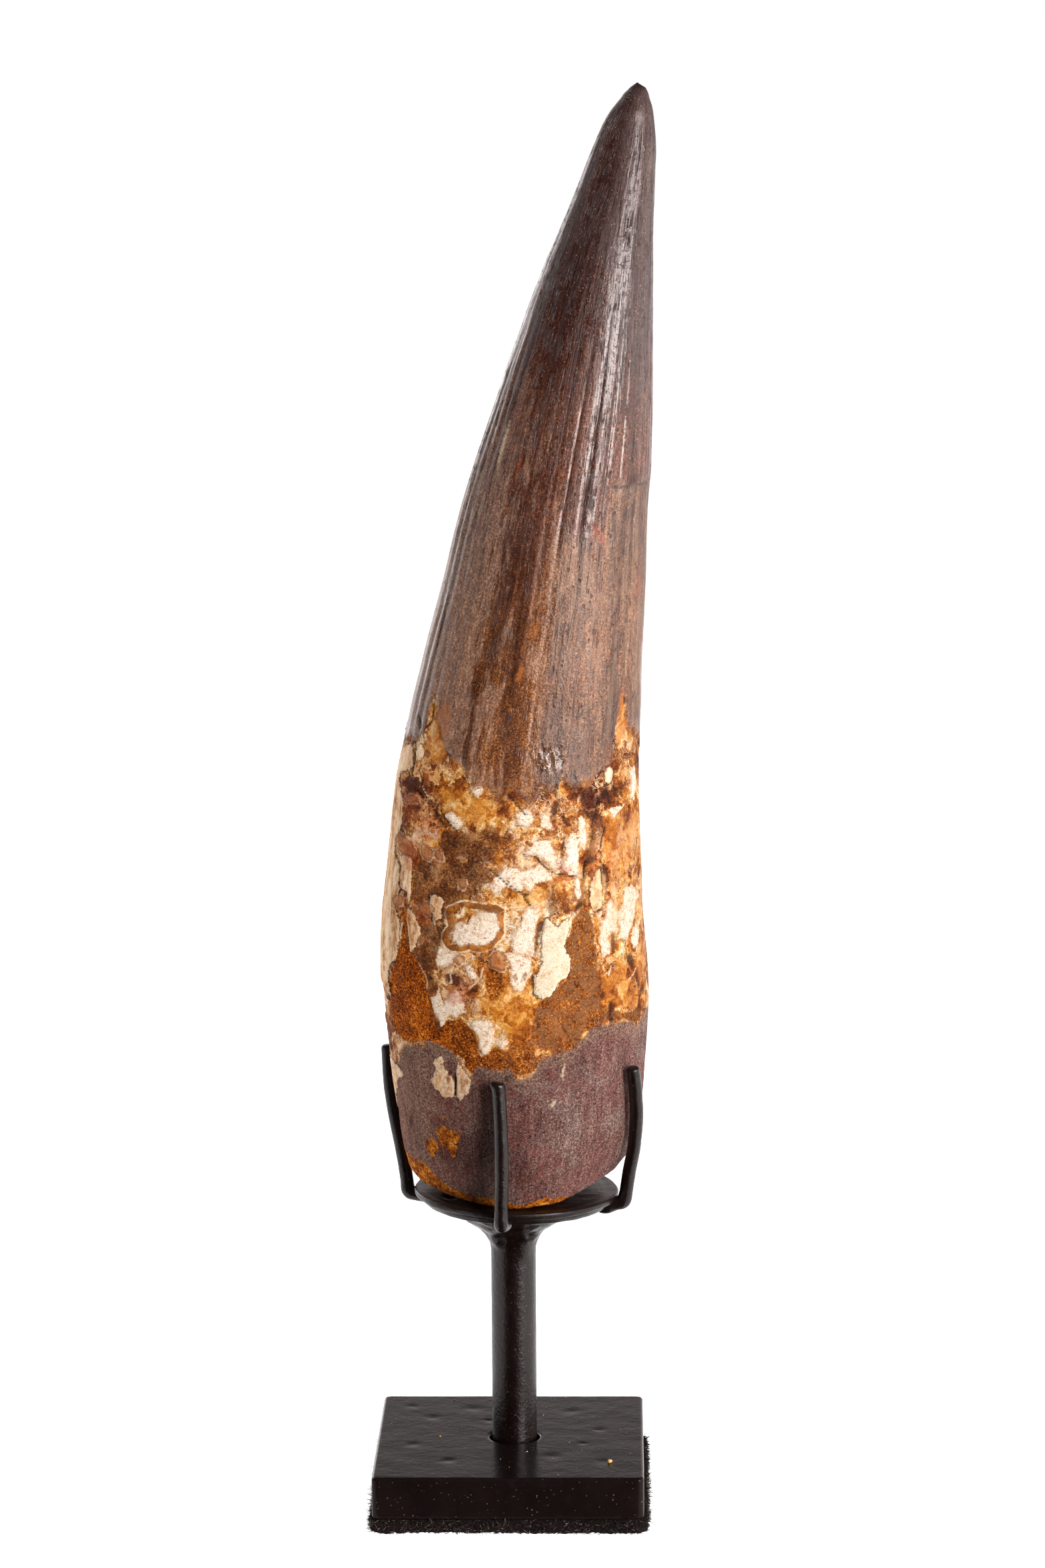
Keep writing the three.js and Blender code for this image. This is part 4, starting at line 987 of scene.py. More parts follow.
# ------------------------------------------------------------------ tooth: material
def tooth_material(name, specular):
    n = Nodes(name)
    mm = n.scaled(n.coords(), 1000, 1000, 1000)
    flow = n.attr("flow", True)
    z = n.attr("height")
    tone, warm = n.attr("tone"), n.attr("warm")

    def around(v, mid=0.5, k=1.0):
        return n.math("MULTIPLY", n.math("SUBTRACT", v, mid), k)

    def plus(*parts):
        out = parts[0]
        for q in parts[1:]:
            out = n.math("ADD", out, q)
        return out

    # shared noises
    grain = n.noise(mm, 3.2, 2, 0.6)                     # about 0.3 mm
    speck = n.noise(mm, 7.5, 1.5, 0.6)
    patch = n.noise(mm, 0.75, 4, 0.6, 0.8)
    wisp = n.noise(n.scaled(flow, 0.9, 0.9, 0.16), 1.0, 4, 0.62, 0.5)
    lines = n.noise(n.scaled(flow, 1.1, 1.1, 0.045), 1.0, 4, 0.66, 0.15)
    hair = n.noise(n.scaled(flow, 3.4, 3.4, 0.16), 1.0, 3, 0.65, 0.1)
    blot = n.noise(mm, 0.16, 4, 0.6, 0.4)
    cells = n.voronoi(mm, 2.6, "F1", "Distance")
    dots = n.voronoi(mm, 1.9, "F1", "Distance")
    fray = plus(around(n.noise(mm, 1.5, 3, 0.6), 0.5, 0.75), around(grain, 0.5, 0.55))

    # coordinates bent by a slow swirl, so that the stains and cells look grown
    swirl = n.t.nodes.new("ShaderNodeTexNoise")
    n.put(swirl.inputs["Vector"], mm)
    swirl.inputs["Scale"].default_value = 0.42
    swirl.inputs["Detail"].default_value = 4
    swirl.inputs["Roughness"].default_value = 0.6
    bend = n.t.nodes.new("ShaderNodeVectorMath")
    bend.operation = "MULTIPLY_ADD"
    n.put(bend.inputs[0], swirl.outputs["Color"])
    bend.inputs[1].default_value = (5.0, 5.0, 5.0)
    n.put(bend.inputs[2], mm)
    wm = bend.outputs[0]
    broad = n.noise(wm, 0.34, 5, 0.62, 0.4)
    fine = n.noise(wm, 1.25, 4, 0.68, 0.3)

    def lobes(scale):
        f1 = n.t.nodes.new("ShaderNodeTexVoronoi")
        n.put(f1.inputs["Vector"], wm)
        f1.inputs["Scale"].default_value = scale
        sep = n.t.nodes.new("ShaderNodeSeparateColor")
        n.put(sep.inputs[0], f1.outputs["Color"])
        e = n.voronoi(wm, scale, "DISTANCE_TO_EDGE")
        return sep.outputs[0], sep.outputs[1], e

    def terrace(q, step, k):
        """gives the border between two tones a crisper edge"""
        return plus(q, n.math("MULTIPLY", n.math("SINE", n.math("MULTIPLY", q, 2 * math.pi / step)), -k * step / (2 * math.pi)))

    arc = n.attr("arc")
    cell_a, cell_a2, edge_av = lobes(0.42)
    cell_b, cell_b2, edge_bv = lobes(1.05)

    def mask(key, w=0.10, k=1.0, at=0.0):
        v = n.attr(key)
        v = n.math("ADD", v, n.math("MULTIPLY", fray, k))
        return n.span(v, at - w, at + w), v

    def both(f, k):
        return n.math("MULTIPLY", f, k)

    # mottled root: each lobe has its own tone
    near_white = n.span(n.math("MAXIMUM", n.attr("white"), n.attr("pale")), -2.6, 0.0, 0.0, 0.13)
    v = plus(0.47, around(broad, 0.5, 1.35), around(fine, 0.5, 0.95), around(cell_a, 0.5, 0.24), around(cell_b, 0.5, 0.22),
             n.math("MULTIPLY", tone, 0.20), near_white)
    v = plus(terrace(terrace(v, 0.13, 0.9), 0.13, 0.6), around(grain, 0.5, 0.26))
    cool = n.ramp(v, [(0.10, rgb(44, 23, 14)), (0.28, rgb(88, 50, 29)), (0.40, rgb(126, 76, 43)), (0.50, rgb(166, 108, 64)),
                      (0.60, rgb(204, 150, 102)), (0.72, rgb(232, 198, 160)), (0.86, rgb(248, 234, 214))])
    hot = n.ramp(v, [(0.10, rgb(56, 24, 8)), (0.28, rgb(112, 52, 14)), (0.40, rgb(158, 80, 22)), (0.50, rgb(196, 118, 38)),
                     (0.60, rgb(222, 156, 68)), (0.72, rgb(240, 194, 128)), (0.86, rgb(250, 232, 200))])
    w = n.span(plus(warm, around(n.noise(wm, 0.5, 3, 0.6), 0.5, 1.5), around(cell_b2, 0.5, 0.5)), -0.35, 0.60)
    col = n.mix(w, cool, hot)
    # reddish stain, brown veins, pale cell borders and small dark flecks
    red = n.span(n.noise(wm, 0.62, 3, 0.6, 0.3), 0.55, 0.68)
    col = n.mix(both(red, 0.55), col, rgb(138, 60, 32))
    vein = n.span(n.math("ABSOLUTE", around(n.noise(wm, 0.55, 3, 0.55), 0.5)), 0.022, 0.004)
    col = n.mix(both(both(vein, n.span(patch, 0.40, 0.58)), 0.7), col, rgb(74, 36, 18))
    lace = n.math("MULTIPLY", n.span(edge_bv, 0.075, 0.02), n.span(plus(cell_a2, around(broad, 0.5, 2.0)), 0.55, 0.85))
    col = n.mix(both(lace, 0.65), col, rgb(236, 208, 172))
    rim = n.math("MULTIPLY", n.span(edge_av, 0.070, 0.02), n.span(cell_a2, 0.45, 0.25))
    col = n.mix(both(rim, 0.55), col, rgb(88, 46, 24))
    fleck = n.span(n.noise(mm, 1.9, 3, 0.65), 0.36, 0.29)
    col = n.mix(both(fleck, 0.75), col, rgb(54, 28, 17))
    rough = n.span(v, 0.3, 0.8, 0.70, 0.58)

    # ochre, half glassy
    m, d = mask("ochre", 0.45)
    o = n.ramp(plus(0.53, around(v, 0.5, 0.62)), [(0.15, rgb(84, 37, 10)), (0.34, rgb(142, 70, 18)), (0.48, rgb(192, 112, 32)), (0.60, rgb(216, 146, 58)),
                               (0.74, rgb(230, 182, 114)), (0.88, rgb(244, 220, 178))])
    col = n.mix(both(m, 0.72), col, o)
    rough = n.blend(m, rough, 0.48)
    # dull gritty brown
    m, d = mask("grey", 0.6, 1.6)
    g = n.ramp(plus(grain, around(broad, 0.5, 0.9), around(speck, 0.5, 0.5)),
               [(0.25, rgb(46, 22, 10)), (0.46, rgb(96, 54, 26)), (0.60, rgb(134, 80, 40)), (0.80, rgb(190, 134, 82))])
    col = n.mix(both(m, 0.80), col, g)
    # gritty orange-brown matrix
    m, d = mask("sand", 0.2)
    sn = plus(0.46, around(grain, 0.5, 1.5), around(speck, 0.5, 1.1), around(broad, 0.5, 0.9))
    sand = n.ramp(sn, [(0.15, rgb(38, 15, 3)), (0.35, rgb(100, 44, 6)), (0.52, rgb(148, 72, 11)), (0.70, rgb(186, 102, 22)),
                       (0.88, rgb(228, 160, 80))])
    grains = n.math("MULTIPLY", n.span(dots, 0.20, 0.12), n.span(speck, 0.46, 0.58))
    sand = n.mix(both(n.span(arc, -5.0, 6.0), n.span(patch, 0.40, 0.58, 0.10, 0.62)), sand, rgb(142, 98, 64))
    sand = n.mix(both(grains, 0.85), sand, rgb(232, 184, 124))
    sand = n.mix(n.span(arc, -8.0, -12.0), sand, (1.30, 1.18, 0.80, 1), "MULTIPLY")
    sand = n.mix(n.span(arc, 6.0, 10.0), sand, (0.86, 0.90, 0.96, 1), "MULTIPLY")
    col = n.mix(m, col, sand)
    rough = n.blend(m, rough, 0.88)
    # beige flakes with a darker edge
    m, d = mask("tan", 0.10)
    t = n.ramp(plus(0.44, around(wisp, 0.5, 1.6), around(fine, 0.5, 0.6), around(cell_b, 0.5, 0.15)),
               [(0.12, rgb(140, 84, 46)), (0.30, rgb(196, 142, 96)), (0.48, rgb(232, 192, 150)), (0.70, rgb(250, 226, 196))])
    t = n.mix(both(fleck, 0.5), t, rgb(90, 50, 28))
    tan_col = t
    rimline = both(n.span(d, -0.34, -0.10), n.span(d, 0.10, -0.05))
    col = n.mix(both(rimline, 0.7), col, rgb(64, 33, 18))
    tan_m = m
    lip = both(n.span(d, 0.0, 0.10), n.span(d, 0.38, 0.14))
    tan_lip = lip
    col = n.mix(m, col, t)
    col = n.mix(both(lip, 0.5), col, rgb(224, 196, 162))
    rough = n.blend(m, rough, 0.68)
    # white flakes, stained through by veins; the orange-brown band round their edge is partly stain and partly painted
    # shadow of the raised flake
    m, d = mask("white", 0.06, 1.25)
    halo_stain_and_shade = both(n.span(d, -0.75, -0.12), n.span(d, 0.1, -0.05))
    col = n.mix(both(halo_stain_and_shade, n.span(grain, 0.35, 0.6, 0.1, 0.6)), col, rgb(150, 78, 24))
    wv = plus(n.span(d, 0.0, 0.5, 0.46, 0.75), around(fine, 0.5, 1.1), around(wisp, 0.5, 0.6), around(cell_b, 0.5, 0.22))
    wcol = n.ramp(wv, [(0.06, rgb(150, 92, 50)), (0.20, rgb(196, 142, 96)), (0.34, rgb(218, 178, 140)), (0.48, rgb(232, 206, 178)),
                       (0.66, rgb(248, 227, 202)), (0.88, rgb(255, 241, 222))])
    wcol = n.mix(both(n.span(n.noise(wm, 1.5, 3, 0.6), 0.54, 0.64), 0.5), wcol, rgb(208, 168, 150))
    wcol = n.mix(both(n.span(n.noise(wm, 1.9, 3.5, 0.7), 0.555, 0.605), 0.8), wcol, rgb(190, 122, 70))
    wcol = n.mix(both(both(vein, n.span(grain, 0.4, 0.55)), 0.5), wcol, rgb(170, 104, 62))
    col = n.mix(m, col, wcol)
    rough = n.blend(m, rough, 0.6)
    white_m = m
    # pale, sandy off-white
    m, d = mask("pale", 0.10)
    pcol = n.ramp(plus(0.56, around(patch, 0.5, 0.8), around(grain, 0.5, 0.8), around(speck, 0.5, 0.5)),
                  [(0.08, rgb(140, 94, 58)), (0.26, rgb(196, 156, 116)), (0.46, rgb(226, 202, 170)), (0.74, rgb(238, 226, 204))])
    pcol = n.mix(both(n.span(n.noise(wm, 1.7, 3.5, 0.7), 0.56, 0.68), 0.55), pcol, rgb(190, 138, 96))
    pcol = n.mix(both(both(n.span(dots, 0.22, 0.12), n.span(speck, 0.5, 0.6)), 0.8), pcol, rgb(116, 84, 50))
    rimline = both(n.span(d, -0.30, -0.08), n.span(d, 0.08, -0.05))
    col = n.mix(both(rimline, 0.75), col, rgb(74, 40, 18))
    col = n.mix(m, col, pcol)
    rough = n.blend(m, rough, 0.7)
    pale_m = m
    # rim of the large oval
    m, d = mask("ring", 0.10, 0.6)
    band = both(n.span(d, -0.05, 0.1), n.span(plus(d, around(broad, 0.5, 2.0)), 1.15, 0.75))
    rcol = n.mix(n.span(patch, 0.4, 0.6), rgb(120, 62, 20), rgb(186, 112, 40))
    col = n.mix(both(band, 0.9), col, rcol)
    outline = both(n.span(d, -0.30, -0.18), n.span(d, 0.06, -0.04))
    col = n.mix(both(outline, n.span(broad, 0.44, 0.54, 0.25, 0.9)), col, rgb(236, 210, 174))
    # round knots with pale outlines, and painted shade in a darker ring just inside the outline
    m, d = mask("knot", 0.16, 1.3)
    kcol = n.ramp(plus(n.math("MULTIPLY", d, 0.45), around(fine, 0.5, 1.6), 0.1),
                  [(0.0, rgb(150, 84, 48)), (0.25, rgb(208, 146, 98)), (0.5, rgb(190, 116, 68)), (0.8, rgb(150, 82, 44)), (1.0, rgb(226, 180, 134))])
    col = n.mix(both(m, 0.62), col, kcol)
    # painted shade: a darker ring just inside each knot's outline
    inner = both(n.span(d, 0.0, 0.14), n.span(d, 0.55, 0.20))
    col = n.mix(both(both(inner, 0.65), n.span(fine, 0.4, 0.55)), col, rgb(96, 46, 22))
    outline = both(both(n.span(d, -0.24, -0.12), n.span(d, 0.12, 0.0)), n.span(patch, 0.42, 0.56, 0.10, 1.0))
    col = n.mix(both(outline, 0.5), col, rgb(236, 204, 166))
    # dark hollows
    m, d = mask("dark", 0.25, 1.3, 0.12)
    dcol = n.mix(n.span(grain, 0.3, 0.7), rgb(36, 14, 9), rgb(104, 56, 38))
    col = n.mix(both(m, 0.9), col, dcol)
    rough = n.blend(m, rough, 0.85)
    # pale creases
    m = n.span(plus(n.attr("paleline"), both(fray, 0.12)), -0.20, -0.08)
    col = n.mix(both(m, 0.85), col, rgb(228, 200, 166))

    # maroon stain at the upper left and near the large oval
    stain = n.span(plus(n.attr("maroon"), around(broad, 0.5, 1.6), around(fine, 0.5, 1.2), both(fray, 0.4)), 0.34, 0.58)
    col = n.mix(both(stain, 0.85), col, (0.77, 0.50, 0.45, 1), "MULTIPLY")
    flow_r = both(n.span(arc, 11.0, 15.0), n.span(plus(wisp, around(fine, 0.5, 0.6)), 0.44, 0.60))
    col = n.mix(both(both(both(flow_r, n.span(z, 84, 92)), n.span(z, 106, 101)), 0.5), col, rgb(232, 186, 136))

    # smooth lower root: mauve-grey with red and brown grains
    lof = plus(n.attr("lower"), both(fray, 1.3))
    m = n.span(lof, -0.25, 0.35)
    groove = n.noise(n.scaled(flow, 1.6, 1.6, 0.20), 1.0, 3, 0.6, 0.4)
    lv = plus(0.49, around(grain, 0.5, 1.15), around(speck, 0.5, 1.3), around(hair, 0.5, 0.25), around(groove, 0.5, 0.5))
    lv = plus(lv, n.math("MULTIPLY", tone, 0.20))
    lcol = n.ramp(lv, [(0.15, rgb(46, 30, 27)), (0.40, rgb(94, 70, 64)), (0.60, rgb(122, 97, 91)), (0.85, rgb(172, 140, 128))])
    deep = n.ramp(lv, [(0.15, rgb(40, 20, 18)), (0.40, rgb(82, 52, 47)), (0.60, rgb(110, 75, 70)), (0.85, rgb(160, 120, 108))])
    lcol = n.mix(n.span(plus(blot, n.math("MULTIPLY", n.attr("turn"), 0.10)), 0.42, 0.60), lcol, deep)
    lcol = n.mix(both(n.span(arc, -4.0, -14.0), 0.8), lcol, (1.22, 1.04, 0.86, 1), "MULTIPLY")
    lcol = n.mix(both(n.span(arc, 1.0, 7.0), 0.8), lcol, (1.0, 1.09, 1.10, 1), "MULTIPLY")
    redm = both(n.span(n.noise(mm, 2.2, 2, 0.7), 0.50, 0.62), n.span(n.noise(mm, 0.17, 2, 0.5), 0.42, 0.60))
    lcol = n.mix(both(redm, n.span(arc, 4.0, 12.0, 0.62, 0.42)), lcol, rgb(122, 54, 48))
    lcol = n.mix(both(grains, 0.5), lcol, rgb(184, 132, 98))
    # brown sandy fringe along its upper edge
    fringe = n.span(lof, 3.2, 0.2)
    lcol = n.mix(both(fringe, n.span(patch, 0.40, 0.60, 0.35, 0.95)), lcol,
                 n.mix(n.span(plus(grain, around(speck, 0.5, 0.6)), 0.3, 0.7), rgb(70, 51, 41), rgb(158, 126, 106)))
    col = n.mix(m, col, lcol)
    # pale flakes that lie on the lower root
    col = n.mix(both(tan_m, m), col, n.mix(n.span(patch, 0.40, 0.55), tan_col, wcol))
    col = n.mix(both(both(tan_lip, 0.5), m), col, rgb(224, 196, 162))
    col = n.mix(both(white_m, m), col, wcol)
    col = n.mix(both(pale_m, m), col, pcol)
    rough = n.blend(m, rough, 0.74)
    # rust-orange scabs
    m, d = mask("rust", 0.15, 0.8)
    rv = plus(0.5, around(patch, 0.5, 1.3), around(grain, 0.5, 1.1))
    rust = n.ramp(rv, [(0.15, rgb(50, 20, 4)), (0.38, rgb(118, 56, 10)), (0.55, rgb(170, 90, 20)), (0.72, rgb(206, 126, 32)),
                       (0.9, rgb(232, 178, 92))])
    col = n.mix(m, col, rust)
    rough = n.blend(m, rough, 0.9)

    # enamel crown
    e = plus(n.attr("enamel"), both(fray, 2.6), around(fine, 0.5, 5.0), around(grain, 0.5, 1.6))
    m_en = n.span(e, -0.7, 0.9)
    bands = n.noise(n.scaled(flow, 0.40, 0.40, 0.020), 1.0, 3, 0.6, 0.3)
    short = n.noise(n.scaled(flow, 2.3, 2.3, 0.50), 1.0, 3, 0.65)
    slit_n = n.noise(n.scaled(flow, 1.5, 1.5, 0.075), 1.0, 2, 0.6)
    slit = both(n.span(n.math("ABSOLUTE", around(slit_n, 0.5)), 0.020, 0.004), n.span(n.noise(mm, 0.35, 2, 0.6), 0.46, 0.56))
    lv = plus(0.47, around(bands, 0.5, 0.9), around(lines, 0.5, 0.75), around(short, 0.5, 0.55), around(grain, 0.5, 1.05),
              around(speck, 0.5, 1.0))
    lv_sheen = lv
    dark = n.ramp(lv, [(0.15, rgb(26, 9, 7)), (0.38, rgb(41, 17, 14)), (0.56, rgb(57, 26, 20)), (0.76, rgb(86, 51, 40)),
                       (0.95, rgb(134, 102, 86))])
    mid_c = n.ramp(lv, [(0.15, rgb(38, 15, 8)), (0.38, rgb(64, 30, 18)), (0.56, rgb(88, 45, 28)), (0.76, rgb(120, 74, 52)),
                        (0.95, rgb(164, 122, 96))])
    brown = n.ramp(lv, [(0.12, rgb(44, 19, 6)), (0.34, rgb(76, 38, 14)), (0.52, rgb(100, 54, 23)), (0.68, rgb(132, 79, 40)),
                        (0.88, rgb(176, 126, 84))])
    ecol = n.mix(n.span(plus(z, around(wisp, 0.5, 26.0)), 182, 156), dark, mid_c)
    ecol = n.mix(n.span(plus(z, around(wisp, 0.5, 26.0)), 150, 126), ecol, brown)
    # painted shade: the middle of the tip is darkened, standing in for the dark front of the room reflected there
    tip_painted_shade = both(n.span(n.math("ABSOLUTE", plus(n.attr("turn"), 0.20)), 0.42, 0.10), n.span(z, 170, 188))
    ecol = n.mix(both(tip_painted_shade, 0.30), ecol, rgb(24, 8, 7))
    # amber staining near the root
    am = both(n.span(plus(wisp, n.math("MULTIPLY", patch, 0.6), around(fine, 0.5, 0.5)), 0.84, 1.02), n.span(z, 140, 116))
    ecol = n.mix(both(am, 0.6), ecol, n.mix(n.span(fine, 0.35, 0.65), rgb(112, 52, 16), rgb(184, 112, 52)))
    # thin grey film, stronger to the left
    film = both(n.span(plus(wisp, n.math("MULTIPLY", n.attr("turn"), -0.34), around(bands, 0.5, 0.7)), 0.55, 0.72), n.span(z, 172, 146))
    filmc = n.ramp(plus(0.5, around(short, 0.5, 0.9), around(grain, 0.5, 1.1), around(speck, 0.5, 0.8)),
                   [(0.15, rgb(72, 46, 34)), (0.45, rgb(122, 88, 70)), (0.60, rgb(148, 112, 92)), (0.90, rgb(200, 164, 140))])
    ecol = n.mix(both(film, 0.68), ecol, filmc)
    # worn, matt enamel
    wn = plus(n.attr("worn"), both(fray, 1.8), around(wisp, 0.5, 4.0))
    m_w = n.span(wn, -1.0, 1.0)
    wv = plus(0.51, around(lines, 0.5, 0.75), around(bands, 0.5, 0.7), around(grain, 0.5, 1.35), around(short, 0.5, 1.0),
              around(speck, 0.5, 1.0))
    worn_c = n.ramp(wv, [(0.10, rgb(46, 24, 13)), (0.34, rgb(82, 50, 33)), (0.52, rgb(110, 71, 48)), (0.70, rgb(136, 95, 68)),
                         (0.92, rgb(182, 148, 122))])
    rusty = n.ramp(wv, [(0.10, rgb(50, 24, 10)), (0.34, rgb(90, 49, 25)), (0.52, rgb(122, 73, 42)), (0.70, rgb(148, 98, 64)),
                        (0.92, rgb(190, 146, 108))])
    worn_c = n.mix(both(n.span(plus(patch, around(wisp, 0.5, 1.0), around(bands, 0.5, 1.2)), 0.50, 0.62), 0.85), worn_c, rusty)
    worn_c = n.mix(both(n.span(plus(blot, around(short, 0.5, 0.6)), 0.50, 0.60), 0.30), worn_c, rgb(136, 108, 95))
    upper = n.span(z, 134, 144)
    strands = n.noise(n.scaled(flow, 1.25, 1.25, 0.055), 1.0, 3, 0.62)
    worn_c = n.mix(both(both(upper, n.span(strands, 0.50, 0.58)), 0.6), worn_c, rgb(84, 56, 44))
    worn_c = n.mix(both(n.span(strands, 0.47, 0.40), 0.38), worn_c, rgb(152, 124, 106))
    worn_c = n.mix(both(both(n.span(strands, 0.60, 0.66), n.span(fine, 0.45, 0.6)), 0.7), worn_c, rgb(120, 66, 32))
    hole_v = n.voronoi(n.scaled(n.coords(), 1000, 1000, 620), 0.95, "F1", "Distance")
    hole = both(n.span(hole_v, 0.25, 0.15), n.span(n.noise(mm, 0.45, 2, 0.6), 0.46, 0.55))
    worn_c = n.mix(both(hole, 0.8), worn_c, rgb(46, 26, 17))
    worn_c = n.mix(n.span(z, 140, 150, 1.0, 0.35), worn_c, (0.92, 0.855, 0.775, 1), "MULTIPLY")
    ecol = n.mix(both(m_w, 0.92), ecol, worn_c)
    # slits, pits and bright grains
    ecol = n.mix(both(slit, 0.65), ecol, rgb(38, 19, 13))
    pit = both(n.span(cells, 0.24, 0.14), n.span(speck, 0.48, 0.58))
    ecol = n.mix(both(pit, 0.7), ecol, rgb(34, 18, 12))
    # painted reflection: the upper crown right of the highlight is turned grey-mauve, standing in for the bright room
    # reflected in the glossy enamel
    right_top_painted_sheen = both(n.span(arc, 1.5, 5.0), n.span(z, 160, 176))
    ecol = n.mix(both(right_top_painted_sheen, 0.5), ecol, n.ramp(lv_sheen, [(0.2, rgb(44, 26, 24)), (0.5, rgb(68, 46, 43)), (0.9, rgb(112, 86, 80))]))
    glint = both(n.span(dots, 0.20, 0.10), n.span(n.noise(mm, 1.1, 2, 0.5), 0.47, 0.58))
    ecol = n.mix(both(glint, 0.6), ecol, rgb(190, 146, 108))
    e_rough = plus(n.math("MULTIPLY", n.span(short, 0.35, 0.7), 0.08), 0.17, both(film, 0.12),
                   both(film, n.span(lines, 0.4, 0.6, 0.0, 0.16)), n.span(z, 162, 184, 0.0, 0.03))
    rub = n.noise(n.scaled(flow, 0.95, 0.95, 0.085), 1.0, 4, 0.68)
    dull = n.math("MAXIMUM", n.span(rub, 0.50, 0.60), both(n.span(n.noise(mm, 1.35, 3, 0.65), 0.54, 0.62), 0.9))
    nick_n = n.noise(n.scaled(flow, 1.25, 1.25, 0.10), 1.0, 2, 0.6)
    nick = both(both(n.span(n.math("ABSOLUTE", around(nick_n, 0.5)), 0.040, 0.012), n.span(n.noise(mm, 0.5, 2, 0.6), 0.44, 0.54)), n.span(z, 140, 150))
    ecol = n.mix(both(nick, 0.65), ecol, rgb(38, 18, 15))
    e_rough = plus(e_rough, both(both(dull, n.span(z, 124, 136)), 0.28), both(n.span(z, 180, 190), 0.11), both(nick, 0.42))
    e_rough = n.blend(n.span(n.attr("spot"), 0.1, 0.5), e_rough, 0.12)
    e_rough = n.blend(n.math("MULTIPLY", m_w, n.span(n.attr("spot"), 0.5, 0.1)), e_rough, 0.52)
    col = n.mix(m_en, col, ecol)
    rough = n.blend(m_en, rough, e_rough)

    # overall depth of colour, with painted light and shade in it: brighter on the root's left, darker on the root's
    # right and on the worn right of the crown, and a painted shadow of the front prong on the lower root's front
    # painted shadow: the lower root's front is darkened left of the front prong, where its shadow falls
    prong_shadow_paint = n.math("MULTIPLY", n.span(n.math("ABSOLUTE", plus(arc, 3.6)), 5.5, 1.5), n.span(lof, 0.0, 1.0))
    gain = n.blend(m_en, n.blend(n.span(lof, -0.25, 0.35), 0.82, n.span(arc, 2.0, 10.0, 0.785, 0.895)), 0.94)
    gain = n.math("MULTIPLY", gain, n.math("MULTIPLY_ADD", prong_shadow_paint, -0.22, 1.0))
    rooty = n.span(m_en, 1.0, 0.0)
    # painted light and shade: the root is lightened on its left and darkened on its right, and the crown's foot is
    # scaled by side and height
    gain = n.math("MULTIPLY", gain, n.math("MULTIPLY_ADD", both(rooty, n.span(arc, -9.0, -17.0)), 0.30, 1.0))
    gain = n.math("MULTIPLY", gain, n.math("MULTIPLY_ADD", both(both(rooty, n.span(arc, 11.0, 17.0)), n.span(lof, 0.0, -0.6)), -0.21, 1.0))
    gain = n.math("MULTIPLY", gain, n.math("MULTIPLY_ADD", both(both(m_en, n.span(arc, 1.0, 5.0)), n.span(z, 128, 118)), -0.09, 1.0))
    gain = n.math("MULTIPLY", gain, n.math("MULTIPLY_ADD", both(m_w, n.span(arc, 5.0, 10.0)), -0.17, 1.0))
    gain = n.math("MULTIPLY", gain, n.math("MULTIPLY_ADD", both(m_w, n.span(z, 127, 118)), -0.13, 1.0))
    gain = n.math("MULTIPLY", gain, n.math("MULTIPLY_ADD", both(both(m_en, n.span(z, 125, 119)), both(n.span(arc, -10.0, -7.0), n.span(arc, 1.0, -1.5))), 0.12, 1.0))
    gain = n.math("MULTIPLY", gain, n.math("MULTIPLY_ADD", both(both(m_w, n.span(arc, 8.0, 12.0)), n.span(z, 136, 144)), -0.10, 1.0))
    gain = n.math("MULTIPLY", gain, n.math("MULTIPLY_ADD", both(n.math("MAXIMUM", white_m, pale_m), rooty), -0.04, 1.0))
    painted_light_col = n.t.nodes.new("ShaderNodeCombineColor")
    for i, tint in enumerate((1.0, 0.98, 0.955)):
        n.put(painted_light_col.inputs[i], n.math("MULTIPLY", gain, tint))
    col = n.mix(1.0, col, painted_light_col.outputs[0], "MULTIPLY")

    # small separate marks
    for key, c, k in (("streak", rgb(196, 172, 142), 0.7), ("amber", rgb(160, 88, 34), 0.6), ("redspot", rgb(136, 66, 40), 0.6),
                      ("dirt", rgb(52, 30, 20), 0.8)):
        m, d = mask(key, 0.22, 1.0)
        col = n.mix(both(both(m, k), n.span(grain, 0.3, 0.6, 0.5, 1.0)), col, c)
    # two level splits in the enamel on the right
    for at_, from_, to_, k in ((153.0, 8.0, 16.6, 0.85), (154.6, 4.8, 7.4, 0.6)):
        off = n.math("ABSOLUTE", plus(z, -at_, around(n.noise(mm, 0.7, 3, 0.6), 0.5, 1.6), around(arc, 12, -0.03)))
        m = both(both(n.span(off, 0.20, 0.06), n.span(arc, from_, from_ + 0.6)), n.span(arc, to_, to_ - 0.6))
        col = n.mix(both(m, k), col, rgb(52, 30, 22))
    # cracks
    m = n.span(plus(n.attr("crack"), both(fray, 0.10)), -0.26, -0.06)
    col = n.mix(both(m, 0.85), col, rgb(36, 20, 15))

